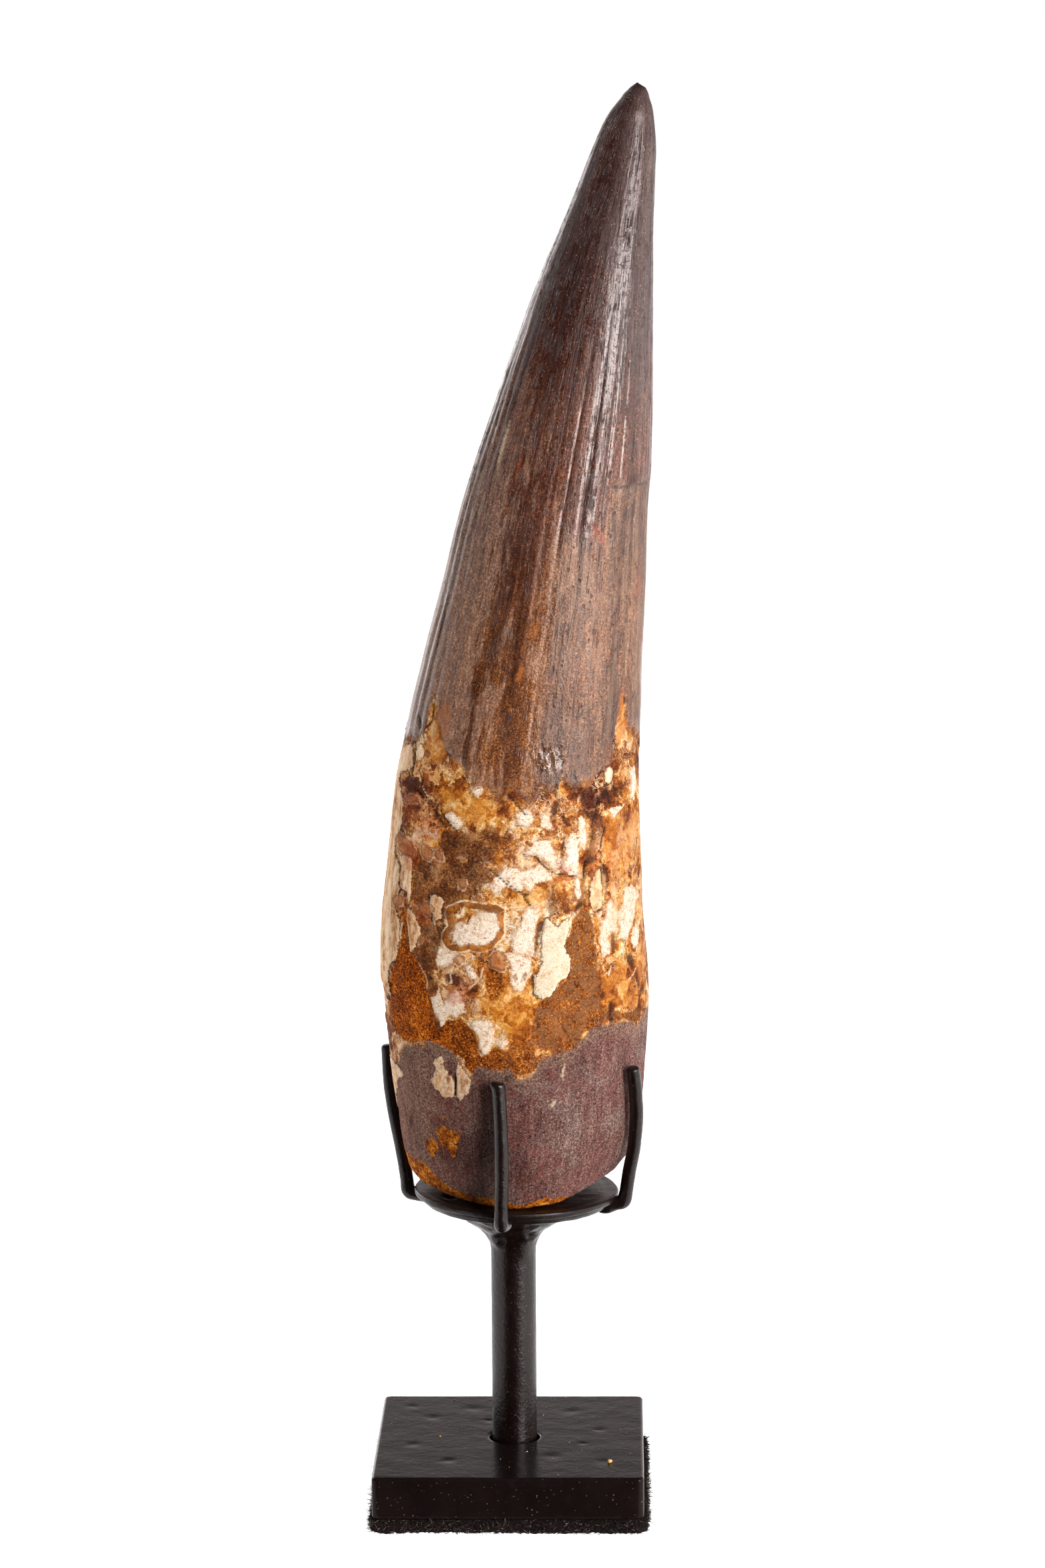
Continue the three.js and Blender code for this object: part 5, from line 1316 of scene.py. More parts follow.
    # fine relief
    peel = n.noise(n.scaled(flow, 1.7, 1.7, 1.0), 1.0, 3, 0.6)
    reed = n.noise(n.scaled(flow, 0.85, 0.85, 0.16), 1.0, 3, 0.62)
    h_en = plus(both(peel, n.span(z, 150, 180, 0.40, 0.30)), both(short, n.span(z, 150, 180, 0.50, 0.35)),
                both(grain, n.span(z, 150, 180, 0.35, 0.40)), both(both(reed, n.span(z, 150, 175, 0.5, 1.25)), n.span(z, 184, 198, 1.0, 0.45)), both(pit, -0.6), both(slit, -0.8), both(nick, -0.6))
    h_rt = plus(both(grain, 0.8), both(speck, 0.45), both(fine, 0.8))
    height = n.blend(m_en, h_rt, n.blend(m_w, both(h_en, 0.42), both(plus(h_en, both(grain, 0.6), both(hole, -1.2)), 0.7)))
    nrm = n.bump(height, 0.00009, 1.0)
    n.bsdf.inputs["Specular Tint"].default_value = (1.0, 0.92, 0.89, 1)
    return n.set(color=col, rough=rough, normal=nrm, specular=specular, ior=1.5)


# the enamel is glossier than the root: the same pattern in two finishes, parted along the enamel's edge
tooth.data.materials.append(tooth_material("fossil_enamel", 0.50))
tooth.data.materials.append(tooth_material("fossil_root", 0.08))
finish = np.array([1 if sum(enamel[k] for k in face) < 0 else 0 for face in F], np.int32)
tooth.data.polygons.foreach_set("material_index", finish)


# ------------------------------------------------------------------ stand: form
def disc_z(x):
    return DISC_TOP - math.tan(TILT) * (x - DISC_X)


def lathe(profile, segments, centre, wobble=None):
    """closed turned form from the axis back to the axis; profile rows are radius, height"""
    ang = np.arange(segments) / segments * 2 * math.pi
    rings = []
    for i, (r, z) in enumerate(profile[1:-1]):
        rr = r + (wobble(ang, r, z) if wobble else 0)
        rings.append(np.stack([centre[0] + rr * np.cos(ang), centre[1] + rr * np.sin(ang), np.full(segments, z)], 1))
    V = np.vstack(rings + [[[centre[0], centre[1], profile[0][1]], [centre[0], centre[1], profile[-1][1]]]])
    F = grid_faces(len(rings), segments).tolist()
    F += fan(list(range(segments)), len(V) - 2, flip=True)
    F += fan(list(range((len(rings) - 1) * segments, len(rings) * segments)), len(V) - 1)
    return V, outward(V, F)


def rounded_profile(corners, radius=0.15, steps=4):
    """rounds the corners of a turned profile"""
    out = [corners[0]]
    for a, b, c in zip(corners[:-2], corners[1:-1], corners[2:]):
        a, b, c = (np.array(p, float) for p in (a, b, c))
        r = min(radius, np.linalg.norm(a - b) / 2.1, np.linalg.norm(c - b) / 2.1)
        p, q = b + (a - b) / np.linalg.norm(a - b) * r, b + (c - b) / np.linalg.norm(c - b) * r
        for t in np.linspace(0, 1, steps):
            out.append(tuple((1 - t) ** 2 * p + 2 * t * (1 - t) * b + t * t * q))
    out.append(corners[-1])
    return out


def build_disc():
    prof = [(0, -2.0)] + [(r, -2.0) for r in (2, 5, 8, 10.6)]
    prof += rounded_profile([(11.6, -2.15), (13.7, -2.1), (14.35, -1.12), (13.6, -1.0), (15.1, -0.98), (15.2, 0.02), (14.0, 0.0)], 0.42, 6)
    prof += [(r, 0.0) for r in np.arange(13.5, 0.4, -0.45)] + [(0, 0.0)]
    V, F = lathe(prof, 200, (0, 0))
    a = np.arctan2(V[:, 1], V[:, 0])
    r = np.hypot(V[:, 0], V[:, 1])
    k = np.clip(r / 12, 0, 1)
    q = np.stack([np.cos(a) * 3, np.sin(a) * 3, V[:, 2]], 1)
    grow = (0.13 * perlin(q, 81) + 0.05 * perlin(q * 4, 82)) * k
    V[:, 0] *= 1 + grow / np.maximum(r, 1)
    V[:, 1] *= 1 + grow / np.maximum(r, 1)
    top = V[:, 2] > -0.3
    V[:, 2] += np.where(top, 0.035 * perlin(V / 2.2, 83) + 0.02 * perlin(V / 0.8, 84), 0.10 * perlin(V / 2.5, 85) * (r > 11))
    # a pit near the left front edge, and a shallow brushed groove near the rim
    pit = np.exp(-(((V[:, 0] + 9.6) / 0.75) ** 2 + ((V[:, 1] + 6.2) / 0.9) ** 2))
    V[:, 2] -= np.where(top, 0.45 * pit + 0.05 * np.exp(-((r - 13.6) / 0.35) ** 2), 0)
    c, s = math.cos(TILT), math.sin(TILT)
    X = V[:, 0] * c + V[:, 2] * s
    Zz = -V[:, 0] * s + V[:, 2] * c
    return np.stack([X + DISC_X, V[:, 1] + DISC_Y, Zz + DISC_TOP], 1), F


PRONGS = {
    "prong_front": [(-0.75, -16.35, 46.6), (-0.62, -16.45, 52.0), (-0.62, -16.6, 57.0), (-0.72, -16.75, 62.0),
                    (-1.02, -16.95, 67.2)],
    "prong_left": [(-15.35, 4.2, 46.6), (-16.05, 4.3, 51.4), (-16.85, 4.4, 55.5), (-17.55, 4.6, 59.6), (-17.95, 4.9, 63.5),
                   (-18.1, 5.1, 67.8)],
    "prong_right": [(17.35, -3.1, 46.2), (17.95, -3.9, 50.5), (18.65, -5.0, 54.5), (19.05, -6.4, 59.5), (18.9, -7.3, 63.5),
                    (18.5, -8.0, 67.4)],
    "prong_back": [(3.4, 17.0, 46.6), (3.5, 17.3, 52.0), (3.6, 17.75, 57.0), (3.6, 18.2, 62.0), (3.5, 18.5, 67.6)],
}
WIRE_R, FOOT_DROP, BEND = 1.0, 2.35, 1.2
LIFT = {"prong_front": (0.3, 0.75), "prong_left": (-0.1, 0.15), "prong_right": (0.45, 1.15), "prong_back": (0.2, 0.6)}


def build_prong(name, seed):
    pts = np.array(PRONGS[name])
    out = pts[0, :2] - np.array([DISC_X, DISC_Y])
    reach = np.linalg.norm(out)
    out = out / reach
    fz = DISC_TOP - FOOT_DROP - math.tan(TILT) * (pts[0, 0] - DISC_X)

    def at(r, z):
        return [DISC_X + out[0] * r, DISC_Y + out[1] * r, z]

    inner, rise = LIFT[name]
    path = [at(12.6, fz + 0.1 + inner), at(13.5, fz + inner), at(reach - BEND, fz + rise)]
    pts[0] += (pts[1] - pts[0]) * max(0.0, (fz + rise + BEND + 0.5 - pts[0, 2]) / (pts[1, 2] - pts[0, 2]))
    for a in (25, 50, 72):
        t = math.radians(a)
        path.append(at(reach - BEND + BEND * math.sin(t), fz + rise + BEND * (1 - math.cos(t))))
    path += pts.tolist()
    line = catmull(path, 12)
    # even steps, so that the bar's surface can be dented evenly
    d = np.concatenate([[0], np.cumsum(np.linalg.norm(np.diff(line, axis=0), axis=1))])
    u = np.arange(0, d[-1], 0.22)
    u = np.append(u, d[-1])
    line = np.stack([np.interp(u, d, line[:, i]) for i in range(3)], 1)
    V, F = tube(line, WIRE_R, 36, 0.42)
    N = vertex_normals(V, F)
    # hammered, thickly painted bar; a lump of weld where the foot meets the disc
    disp = 0.045 * perlin(V / 2.6 + seed, 90 + seed) + 0.018 * perlin(V / 0.9 + seed, 91 + seed)
    foot = np.array(at(13.9, fz + inner + 0.2))
    dist = np.linalg.norm((V - foot) / np.array([1.25, 1.25, 0.95]), axis=1)
    disp += 0.42 * np.exp(-dist ** 2) * (0.8 + 0.4 * perlin(V / 0.9, 92 + seed))
    elbow = np.array(at(reach - 0.15, fz + rise + 0.1))
    de = np.linalg.norm(V - elbow, axis=1)
    disp += 0.22 * np.exp(-(de / 1.15) ** 2)
    if name == "prong_front":
        nub = np.array([-1.75, -17.2, 67.3])
        disp += 0.42 * np.exp(-(np.linalg.norm(V - nub, axis=1) / 0.75) ** 2)
    return V + N * disp[:, None], outward(V, F)


def build_post():
    prof = [(0, 2.2), (2.2, 2.2), (3.1, 2.2), (3.35, 2.45)]
    prof += [(3.35, z) for z in np.arange(3.2, 36.4, 0.7)]
    flare = np.array([(3.35, 36.6), (3.40, 38.0), (3.65, 39.0), (3.90, 39.5), (4.22, 40.0), (4.85, 40.8), (5.80, 41.5),
                      (7.00, 42.5), (8.30, 44.0), (8.45, 44.85)])
    zs = np.concatenate([np.arange(36.6, 39, 0.3), np.arange(39, 44.85, 0.16)])
    rs = pchip(flare[:, 1], flare[:, 0], zs)
    prof += list(zip(rs, zs))
    prof += [(8.3, 44.92), (5.0, 44.92), (0, 44.92)]
    V, F = lathe(prof, 120, (0.62, 0.0))
    N = vertex_normals(V, F)
    high = smooth(37.5, 40.5, V[:, 2])
    disp = 0.03 * perlin(V / 3.0, 95) + 0.008 * perlin(V / 0.9, 96) + high * (0.27 * perlin(V / 1.9, 97) + 0.09 * perlin(V / 0.8, 98))
    for q, r, h in (((2.4, -2.7, 37.9), 0.9, 0.22), ((-2.0, -3.0, 39.2), 1.0, 0.25), ((0.9, -3.6, 40.4), 0.8, -0.20),
                    ((3.6, -2.6, 40.6), 0.8, 0.25)):
        disp += h * np.exp(-(np.linalg.norm(V - np.array(q), axis=1) / r) ** 2)
    # a small nick on the left above the base
    disp -= 0.35 * np.exp(-(np.linalg.norm(V - np.array([-2.7, -0.9, 13.4]), axis=1) / 0.35) ** 2)
    disp *= V[:, 2] < 44.5
    return V + N * disp[:, None], F


def square_outline(half, corner, count):
    """points round a rounded square by even arc length, and their directions outwards"""
    side = 2 * (half - corner)
    arc = corner * math.pi / 2
    total = 4 * (side + arc)
    P, D = [], []
    for u in np.arange(count) / count * total:
        k = int(u // (side + arc))
        w = u - k * (side + arc)
        if w < side:
            p = np.array([half, -half + corner + w])
            d = np.array([1.0, 0.0])
        else:
            a = (w - side) / arc * math.pi / 2
            d = np.array([math.cos(a), math.sin(a)])
            p = np.array([half - corner, half - corner]) + corner * d
        c, s = math.cos(k * math.pi / 2), math.sin(k * math.pi / 2)
        R = np.array([[c, -s], [s, c]])
        P.append(R @ p)
        D.append(R @ d)
    return np.array(P), np.array(D)


def build_plate():
    n = 480
    O, D = square_outline(20.0, 0.95, n)
    hole = np.array([0.62, 0.0])
    dirs = O - hole
    dirs /= np.linalg.norm(dirs, axis=1, keepdims=True)
    b, top, bot = 0.45, 8.4, 2.12
    rows = []

    def hole_row(r, z):
        rows.append(np.concatenate([hole + dirs * r, np.full((n, 1), z)], 1))

    def edge_row(inset, z):
        rows.append(np.concatenate([O - D * inset, np.full((n, 1), z)], 1))

    for z in (bot, 4, 6, 7.4):
        hole_row(3.75, z)
    for a in (0, 30, 60, 90):
        t = math.radians(a)
        hole_row(3.75 + 0.3 * (1 - math.cos(t)), top - 0.3 + 0.3 * math.sin(t))
    inner = hole + dirs * 4.05
    outer = O - D * (b + 0.001)
    for f in np.linspace(0, 1, 46)[1:-1]:
        rows.append(np.concatenate([inner * (1 - f) + outer * f, np.full((n, 1), top)], 1))
    for a in (0, 20, 40, 60, 80, 90):
        t = math.radians(a)
        edge_row(b * (1 - math.sin(t)), top - b * (1 - math.cos(t)))
    for z in np.arange(7.6, 2.7, -0.35):
        edge_row(0, z)
    for a in (0, 35, 65, 90):
        t = math.radians(a)
        edge_row(0.35 * (1 - math.cos(t)), bot + 0.35 - 0.35 * math.sin(t))
    edge_row(8.0, bot)
    R = len(rows)
    V = np.vstack(rows)
    F = []
    for i in range(R):
        j = (i + 1) % R
        for c in range(n):
            c2 = (c + 1) % n
            F.append([i * n + c, i * n + c2, j * n + c2, j * n + c])
    F = outward(V, F)
    N = vertex_normals(V, F)
    disp = 0.020 * perlin(V / 4.5, 101) + 0.010 * perlin(V / 1.5, 102)
    d = 0.0
    for x, y, r, h in ((-12, 9, 1.1, 0.06), (-6, 13.5, 1.5, 0.05), (-14.5, -4, 0.9, 0.06), (9, 12, 1.2, 0.05), (13.5, 3, 0.9, 0.05),
                       (6.5, -9.5, 1.3, 0.05), (-9, -11.5, 1.0, 0.06), (14, -12, 1.4, 0.05), (-3.5, 7.5, 0.7, 0.06),
                       (11, -3.5, 0.6, 0.05), (-15.5, 14.5, 0.9, 0.05), (2.5, -13.5, 0.8, 0.04)):
        d = d + h * np.exp(-((V[:, 0] - x) ** 2 + (V[:, 1] - y) ** 2) / r ** 2)
    disp -= d * (N[:, 2] > 0.5)
    inside = np.hypot(V[:, 0] - 0.62, V[:, 1]) < 4.3
    disp = np.where(inside, disp * 0.3, disp)
    return V + N * disp[:, None], F


def build_felt():
    n = 1150
    hx, hy = 20.34, 20.30
    O, D = square_outline(1.0, 0.07, n)
    rows = []
    for inset, z in ((6.0, 0.0), (1.4, 0.0), (0.6, 0.0), (0.25, 0.02), (0.08, 0.14), (0.0, 0.32), (0.0, 0.54), (0.0, 0.76), (0.0, 0.98),
                     (0.0, 1.20), (0.0, 1.42), (0.02, 1.64), (0.10, 1.86), (0.28, 2.02), (0.6, 2.1), (1.2, 2.1), (2.4, 2.1), (6.0, 2.1)):
        rows.append(np.stack([0.125 + O[:, 0] * (hx - inset), 0.15 + O[:, 1] * (hy - inset), np.full(n, z)], 1))
    V = np.vstack(rows + [[[0.125, 0.15, 0.0], [0.125, 0.15, 2.1]]])
    F = grid_faces(len(rows), n).tolist()
    F += fan(list(range(n)), len(V) - 2, flip=True)
    F += fan(list(range((len(rows) - 1) * n, len(rows) * n)), len(V) - 1)
    F = outward(V, F)
    N = vertex_normals(V, F)
    edge_k = np.clip((np.maximum(np.abs(V[:, 0] - 0.125) / hx, np.abs(V[:, 1] - 0.15) / hy) - 0.955) / 0.035, 0, 1)
    disp = edge_k * (0.24 * perlin(V / 1.3, 111) + 0.26 * perlin(V / 0.5, 112) + 0.12 * perlin(V / 0.24, 114) - 0.02
                     + 0.20 * perlin(V / 6.0, 113))
    P = V + N * disp[:, None]
    P[:, 2] = np.clip(P[:, 2], 0.0, 2.16)
    return P, F


def build_fibres(count=5200):
    """short fibres standing out of the felt's cut edge"""
    rng = np.random.default_rng(7)
    O, D = square_outline(1.0, 0.07, 4000)
    V, F, shade = [], [], []
    for _ in range(count):
        k = rng.integers(0, 4000)
        p = np.array([0.125 + O[k, 0] * 20.3, 0.15 + O[k, 1] * 20.26, rng.uniform(0.02, 2.1)])
        d = np.array([D[k, 0], D[k, 1], rng.uniform(-0.4, 0.4)]) + rng.normal(0, 0.8, 3) * np.array([1, 1, 0.6])
        d /= np.linalg.norm(d)
        length = rng.uniform(0.30, 0.90) if rng.uniform() < 0.92 else rng.uniform(0.9, 1.6)
        curl = rng.normal(0, 1.1, 3)
        r = rng.uniform(0.035, 0.070)
        s = rng.uniform(0, 1)
        pts = [p]
        for i in range(4):
            d = d + curl * 0.22
            d /= np.linalg.norm(d)
            q = pts[-1] + d * length / 4
            q[2] = min(max(q[2], 0.04), 2.35)
            pts.append(q)
        base = len(V)
        for i, q in enumerate(pts):
            rr = r * (1 - 0.16 * i)
            u = np.cross(d, [0, 0, 1.0])
            u /= max(np.linalg.norm(u), 1e-6)
            v = np.cross(d, u)
            for a in (0, 2.094, 4.189):
                V.append(q + rr * (math.cos(a) * u + math.sin(a) * v))
                shade.append(s)
        for i in range(4):
            for j in range(3):
                a, b = base + i * 3 + j, base + i * 3 + (j + 1) % 3
                F.append([a, b, b + 3, a + 3])
        F.append([base + 2, base + 1, base])
        F.append([base + 12, base + 13, base + 14])
    return np.array(V), F, np.array(shade)


def build_grains():
    """grains of grit and lint lying on the base plate"""
    V, F, shade = [], [], []
    rng = np.random.default_rng(23)
    spots = [(15.0, -12.6, 0.36, 1.00), (-10.6, -0.4, 0.13, 0.95), (-9.1, 17.7, 0.11, 0.90), (2.6, -7.6, 0.11, 0.92), (-6.8, 4.8, 0.08, 0.50), (9.4, 1.6, 0.07, 0.60)]
    for _ in range(46):
        spots.append((rng.uniform(-19, 19), rng.uniform(-19, 19), rng.uniform(0.04, 0.09), rng.uniform(0, 1)))
    for x, y, r, s in spots:
        if math.hypot(x - 0.62, y) < 4.6:
            continue
        base = len(V)
        for i in range(4):
            el = math.radians(-50 + 40 * i)
            for j in range(7):
                az = j / 7 * 2 * math.pi
                k = 1 + rng.uniform(-0.22, 0.22)
                V.append([x + r * k * math.cos(el) * math.cos(az), y + 0.85 * r * k * math.cos(el) * math.sin(az),
                          8.4 + r * 0.7 + 0.75 * r * k * math.sin(el)])
                shade.append(s)
        for i in range(3):
            for j in range(7):
                a, b = base + i * 7 + j, base + i * 7 + (j + 1) % 7
                F.append([a, b, b + 7, a + 7])
        F.append([base + 6 - j for j in range(7)])
        F.append([base + 21 + j for j in range(7)])
    return np.array(V), F, np.array(shade)


# ------------------------------------------------------------------ stand: materials
def paint_material(name, brushed=0.0, gloss=0.25, shine=0.35, lumps=0.35, dusty=0.25, tint=(1.0, 0.92, 0.91), lift=0.0, grainy=0.35):
    n = Nodes(name)
    mm = n.scaled(n.coords(), 1000, 1000, 1000)
    fine = n.noise(mm, 2.4, 3, 0.6)
    broad = n.noise(mm, 0.22, 3, 0.55)
    c = n.ramp(broad, [(0.3, (0.0044 + lift, 0.0019 + lift, 0.0016 + lift, 1)), (0.7, (0.0074 + lift, 0.0038 + lift, 0.0032 + lift, 1))])
    dust = n.math("MULTIPLY", n.span(n.voronoi(mm, 0.8, "F1", "Distance"), 0.105, 0.065),
                  n.span(n.noise(mm, 0.9, 2, 0.5), 0.47, 0.54))
    c = n.mix(n.math("MULTIPLY", dust, dusty), c, (0.26, 0.19, 0.15, 1))
    motes = n.math("MULTIPLY", n.span(n.voronoi(mm, 1.25, "F1", "Distance"), 0.15, 0.08), n.span(n.noise(mm, 0.55, 3, 0.6), 0.44, 0.55))
    c = n.mix(n.math("MULTIPLY", motes, dusty), c, (0.20, 0.14, 0.11, 1))
    film = n.span(n.noise(mm, 0.6, 4, 0.65), 0.52, 0.72)
    c = n.mix(n.math("MULTIPLY", film, 0.25), c, (0.014, 0.012, 0.011, 1))
    rough = n.math("ADD", n.math("MULTIPLY", fine, 0.10), n.math("MULTIPLY_ADD", broad, 0.12, gloss - 0.06))
    height = n.math("ADD", n.math("MULTIPLY", n.noise(mm, 1.1, 3, 0.55), 1.0), n.math("MULTIPLY", fine, grainy))
    if brushed:
        sep = n.t.nodes.new("ShaderNodeSeparateXYZ")
        n.put(sep.inputs[0], n.scaled(n.coords(), 1000, 1000, 1000, (-DISC_X, -DISC_Y, 0)))
        r = n.math("SQRT", n.math("ADD", n.math("POWER", sep.outputs[0], 2.0), n.math("POWER", sep.outputs[1], 2.0)))
        comb = n.t.nodes.new("ShaderNodeCombineXYZ")
        n.put(comb.inputs[0], n.math("MULTIPLY", r, 3.2))
        n.put(comb.inputs[1], n.math("MULTIPLY", sep.outputs[0], 0.10))
        n.put(comb.inputs[2], n.math("MULTIPLY", sep.outputs[1], 0.10))
        marks_ = n.noise(comb.outputs[0], 1.0, 3, 0.6)
        height = n.math("ADD", height, n.math("MULTIPLY", marks_, brushed))
        rough = n.math("ADD", rough, n.math("MULTIPLY", marks_, 0.08))
        c = n.mix(n.math("MULTIPLY", n.span(marks_, 0.5, 0.7), 0.35), c, (0.022, 0.019, 0.018, 1))
    nrm = n.bump(height, 0.00012, lumps)
    n.bsdf.inputs["Specular Tint"].default_value = tint + (1,)
    return n.set(color=c, rough=rough, normal=nrm, specular=shine, ior=1.5)


def felt_material(name, fibre=False):
    n = Nodes(name)
    mm = n.scaled(n.coords(), 1000, 1000, 1000)
    fuzz = n.noise(mm, 3.0, 4, 0.7)
    clump = n.noise(mm, 0.7, 3, 0.6)
    if fibre:
        f = n.attr("shade")
        c = n.ramp(f, [(0.0, (0.004, 0.003, 0.003, 1)), (0.62, (0.012, 0.0075, 0.0065, 1)), (0.84, (0.055, 0.036, 0.030, 1)),
                       (1.0, (0.24, 0.17, 0.14, 1))])
        return n.set(color=c, rough=0.9, specular=0.2)
    c = n.ramp(n.math("ADD", n.math("MULTIPLY", fuzz, 0.7), n.math("MULTIPLY", clump, 0.3)),
               [(0.34, (0.0016, 0.0010, 0.0009, 1)), (0.50, (0.0078, 0.0041, 0.0036, 1)), (0.62, (0.025, 0.015, 0.0125, 1)),
                (0.74, (0.11, 0.073, 0.062, 1))])
    nrm = n.bump(fuzz, 0.0006, 1.0)
    return n.set(color=c, rough=0.95, normal=nrm, specular=0.12)


def grain_material():
    n = Nodes("grit")
    mm = n.scaled(n.coords(), 1000, 1000, 1000)
    f = n.attr("shade")
    c = n.ramp(f, [(0.0, rgb(70, 60, 56)), (0.5, rgb(140, 124, 112)), (0.85, rgb(206, 150, 90)), (1.0, rgb(255, 200, 120))])
    c = n.mix(n.span(n.noise(mm, 6.0, 2, 0.6), 0.45, 0.7, 0.0, 0.6), c, rgb(180, 150, 124), "MULTIPLY")
    return n.set(color=c, rough=0.8)


paint = paint_material("stand_paint", lumps=0.55, lift=-0.0011, grainy=0.9)
paint_disc = paint_material("stand_paint_brushed", 0.9, 0.24, 0.235, 0.42, 0.25, (1.0, 0.90, 0.88))
paint_plate = paint_material("stand_paint_plate", 0.0, 0.155, 0.093, 0.15, 0.42, (1.0, 0.84, 0.82), 0.0016)
pieces = {}
V_, F_ = build_disc()
pieces["support_disc"] = make_mesh("disc_painted", V_, F_)
pieces["support_disc"].data.materials.append(paint_disc)
for i, name in enumerate(PRONGS):
    V_, F_ = build_prong(name, i * 5)
    pieces[name] = make_mesh(name + "_painted", V_, F_)
    pieces[name].data.materials.append(paint)
V_, F_ = build_post()
pieces["post"] = make_mesh("post_painted", V_, F_)
pieces["post"].data.materials.append(paint)
V_, F_ = build_plate()
pieces["base_plate"] = make_mesh("plate_painted", V_, F_)
pieces["base_plate"].data.materials.append(paint_plate)
V_, F_ = build_felt()
pieces["felt_pad"] = make_mesh("felt_rough", V_, F_)
pieces["felt_pad"].data.materials.append(felt_material("felt"))
V_, F_, sh = build_fibres()
fibres = make_mesh("felt_fibres", V_, F_, {"shade": sh})
fibres.data.materials.append(felt_material("felt_fibre", True))
V_, F_, sh = build_grains()
grains_ob = make_mesh("plate_grit", V_, F_, {"shade": sh})
grains_ob.data.materials.append(grain_material())

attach(tooth, "root")
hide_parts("tooth")
for node, ob in pieces.items():
    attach(ob, "root")
    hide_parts(node)
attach(fibres, "root")
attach(grains_ob, "root")


# ------------------------------------------------------------------ floor, light, camera
def floor():
    me = bpy.data.meshes.new("floor")
    s = 150.0
    me.from_pydata([(-s, -s, 0), (s, -s, 0), (s, s, 0), (-s, s, 0)], [], [(0, 1, 2, 3)])
    ob = bpy.data.objects.new("floor", me)
    bpy.context.scene.collection.objects.link(ob)
    n = Nodes("floor_white")
    n.set(color=(0.9, 0.9, 0.9, 1), rough=0.8, specular=0.0)
    n.bsdf.inputs["Emission Color"].default_value = (1, 1, 1, 1)
    n.bsdf.inputs["Emission Strength"].default_value = 0.95
    me.materials.append(n.mat)


def flag():
    """a black card on the table in front of the object: it keeps the reflections there dark and isn't seen itself"""
    me = bpy.data.meshes.new("flag")
    me.from_pydata([(-0.019, -0.0225, 0.0006), (0.019, -0.0225, 0.0006), (1.12, -1.6, 0.0006), (-1.9, -1.6, 0.0006)], [], [(0, 3, 2, 1)])
    ob = bpy.data.objects.new("flag", me)
    bpy.context.scene.collection.objects.link(ob)
    n = Nodes("flag_black")
    n.set(color=(0.01, 0.01, 0.01, 1), rough=0.9, specular=0.0)
    me.materials.append(n.mat)
    ob.visible_camera = False
    ob.visible_shadow = False


def softbox(name, azimuth, elevation, distance, width, height, radiance, part="all", target=(0.0, 0.0, 0.13)):
    """azimuth is measured from the viewer's side towards the right; part says whether it gives shading, sheen or both"""
    a, e = math.radians(azimuth), math.radians(elevation)
    d = Vector((math.sin(a) * math.cos(e), -math.cos(a) * math.cos(e), math.sin(e)))
    light = bpy.data.lights.new(name, "AREA")
    light.shape = "RECTANGLE"
    light.size, light.size_y = width, height
    light.energy = radiance * math.pi * width * height
    ob = bpy.data.objects.new(name, light)
    ob.location = Vector(target) + d * distance
    ob.rotation_mode = "QUATERNION"
    ob.rotation_quaternion = d.to_track_quat("Z", "Y")
    ob.visible_camera = False
    ob.visible_diffuse = part != "sheen"
    ob.visible_glossy = part != "shade"
    bpy.context.scene.collection.objects.link(ob)
    return ob


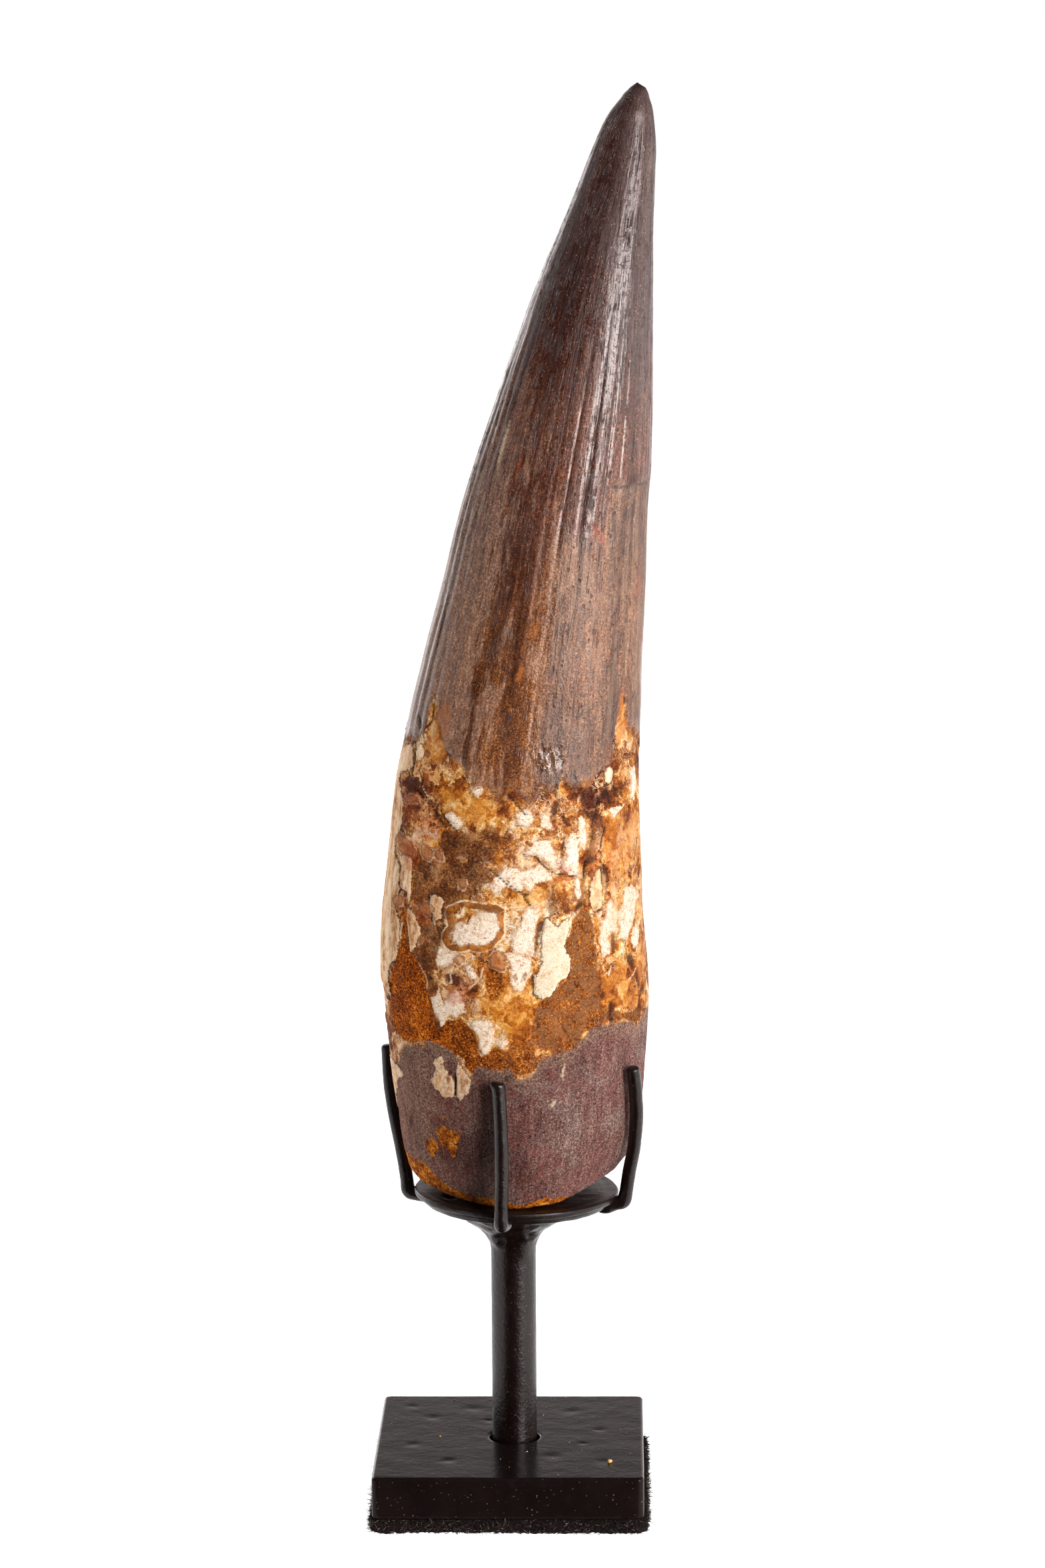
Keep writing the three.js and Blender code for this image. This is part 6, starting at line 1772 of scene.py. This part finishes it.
def world():
    w = bpy.data.worlds.new("studio")
    bpy.context.scene.world = w
    w.use_nodes = True
    t = w.node_tree
    t.nodes.clear()
    out = t.nodes.new("ShaderNodeOutputWorld")
    bg = t.nodes.new("ShaderNodeBackground")
    tc = t.nodes.new("ShaderNodeTexCoord")
    sep = t.nodes.new("ShaderNodeSeparateXYZ")
    t.links.new(tc.outputs["Generated"], sep.inputs[0])

    def span(v, a, b, lo, hi):
        n = t.nodes.new("ShaderNodeMapRange")
        n.interpolation_type = "SMOOTHSTEP"
        t.links.new(v, n.inputs["Value"])
        for k, x in (("From Min", a), ("From Max", b), ("To Min", lo), ("To Max", hi)):
            n.inputs[k].default_value = x
        return n.outputs[0]

    back = span(sep.outputs[1], 0.25, 0.80, 0.0, WORLD_BACK)
    low = span(sep.outputs[2], 0.36, 0.24, 0.0, 1.0)
    mul = t.nodes.new("ShaderNodeMath")
    mul.operation = "MULTIPLY"
    t.links.new(back, mul.inputs[0])
    t.links.new(low, mul.inputs[1])
    add = t.nodes.new("ShaderNodeMath")
    add.operation = "ADD"
    t.links.new(mul.outputs[0], add.inputs[0])
    add.inputs[1].default_value = WORLD_FRONT
    seen = t.nodes.new("ShaderNodeLightPath")           # the room's wall is white where it is looked at directly
    wall = t.nodes.new("ShaderNodeMix")
    wall.data_type = "FLOAT"
    t.links.new(seen.outputs["Is Camera Ray"], wall.inputs[0])
    t.links.new(add.outputs[0], wall.inputs[2])
    wall.inputs[3].default_value = 1.15
    t.links.new(wall.outputs[0], bg.inputs["Strength"])
    bg.inputs["Color"].default_value = (1.0, 0.90, 0.89, 1)
    t.links.new(bg.outputs[0], out.inputs[0])


WORLD_FRONT, WORLD_BACK = 0.085, 1.10
floor()
flag()
world()
softbox("key", 35.5, 9, 1.2, 0.31, 1.15, 27.0, "shade")
softbox("key_sheen", 42, 9, 1.2, 0.54, 1.15, 19.0, "sheen")
softbox("wall_right", 97, 8, 1.5, 1.5, 1.6, 2.0)
softbox("wall_left", -122, 8, 1.5, 1.0, 1.6, 2.1, "shade")
softbox("edge_left", -146, 8, 1.5, 1.05, 1.6, 2.1, "sheen")
softbox("side_left", -108, 8, 1.5, 0.9, 1.6, 0.95, "sheen")

cam_data = bpy.data.cameras.new("camera")
cam_data.lens = 105
cam_data.sensor_width = 36
cam_data.clip_start = 0.01
cam_data.clip_end = 500
camera = bpy.data.objects.new("camera", cam_data)
yaw, pitch, roll = math.radians(1.274), math.radians(10.017), math.radians(-0.37)
fw = Vector((-math.sin(yaw) * math.cos(pitch), math.cos(yaw) * math.cos(pitch), -math.sin(pitch)))
rt = Vector((math.cos(yaw), math.sin(yaw), 0))
up = rt.cross(fw)
rt2 = rt * math.cos(roll) + up * math.sin(roll)
up2 = up * math.cos(roll) - rt * math.sin(roll)
camera.rotation_mode = "QUATERNION"
camera.rotation_quaternion = Matrix((rt2, up2, -fw)).transposed().to_quaternion()
camera.location = (0.01714, -0.66181, 0.22516)
bpy.context.scene.collection.objects.link(camera)
bpy.context.scene.camera = camera
bpy.context.scene.view_settings.view_transform = "Standard"
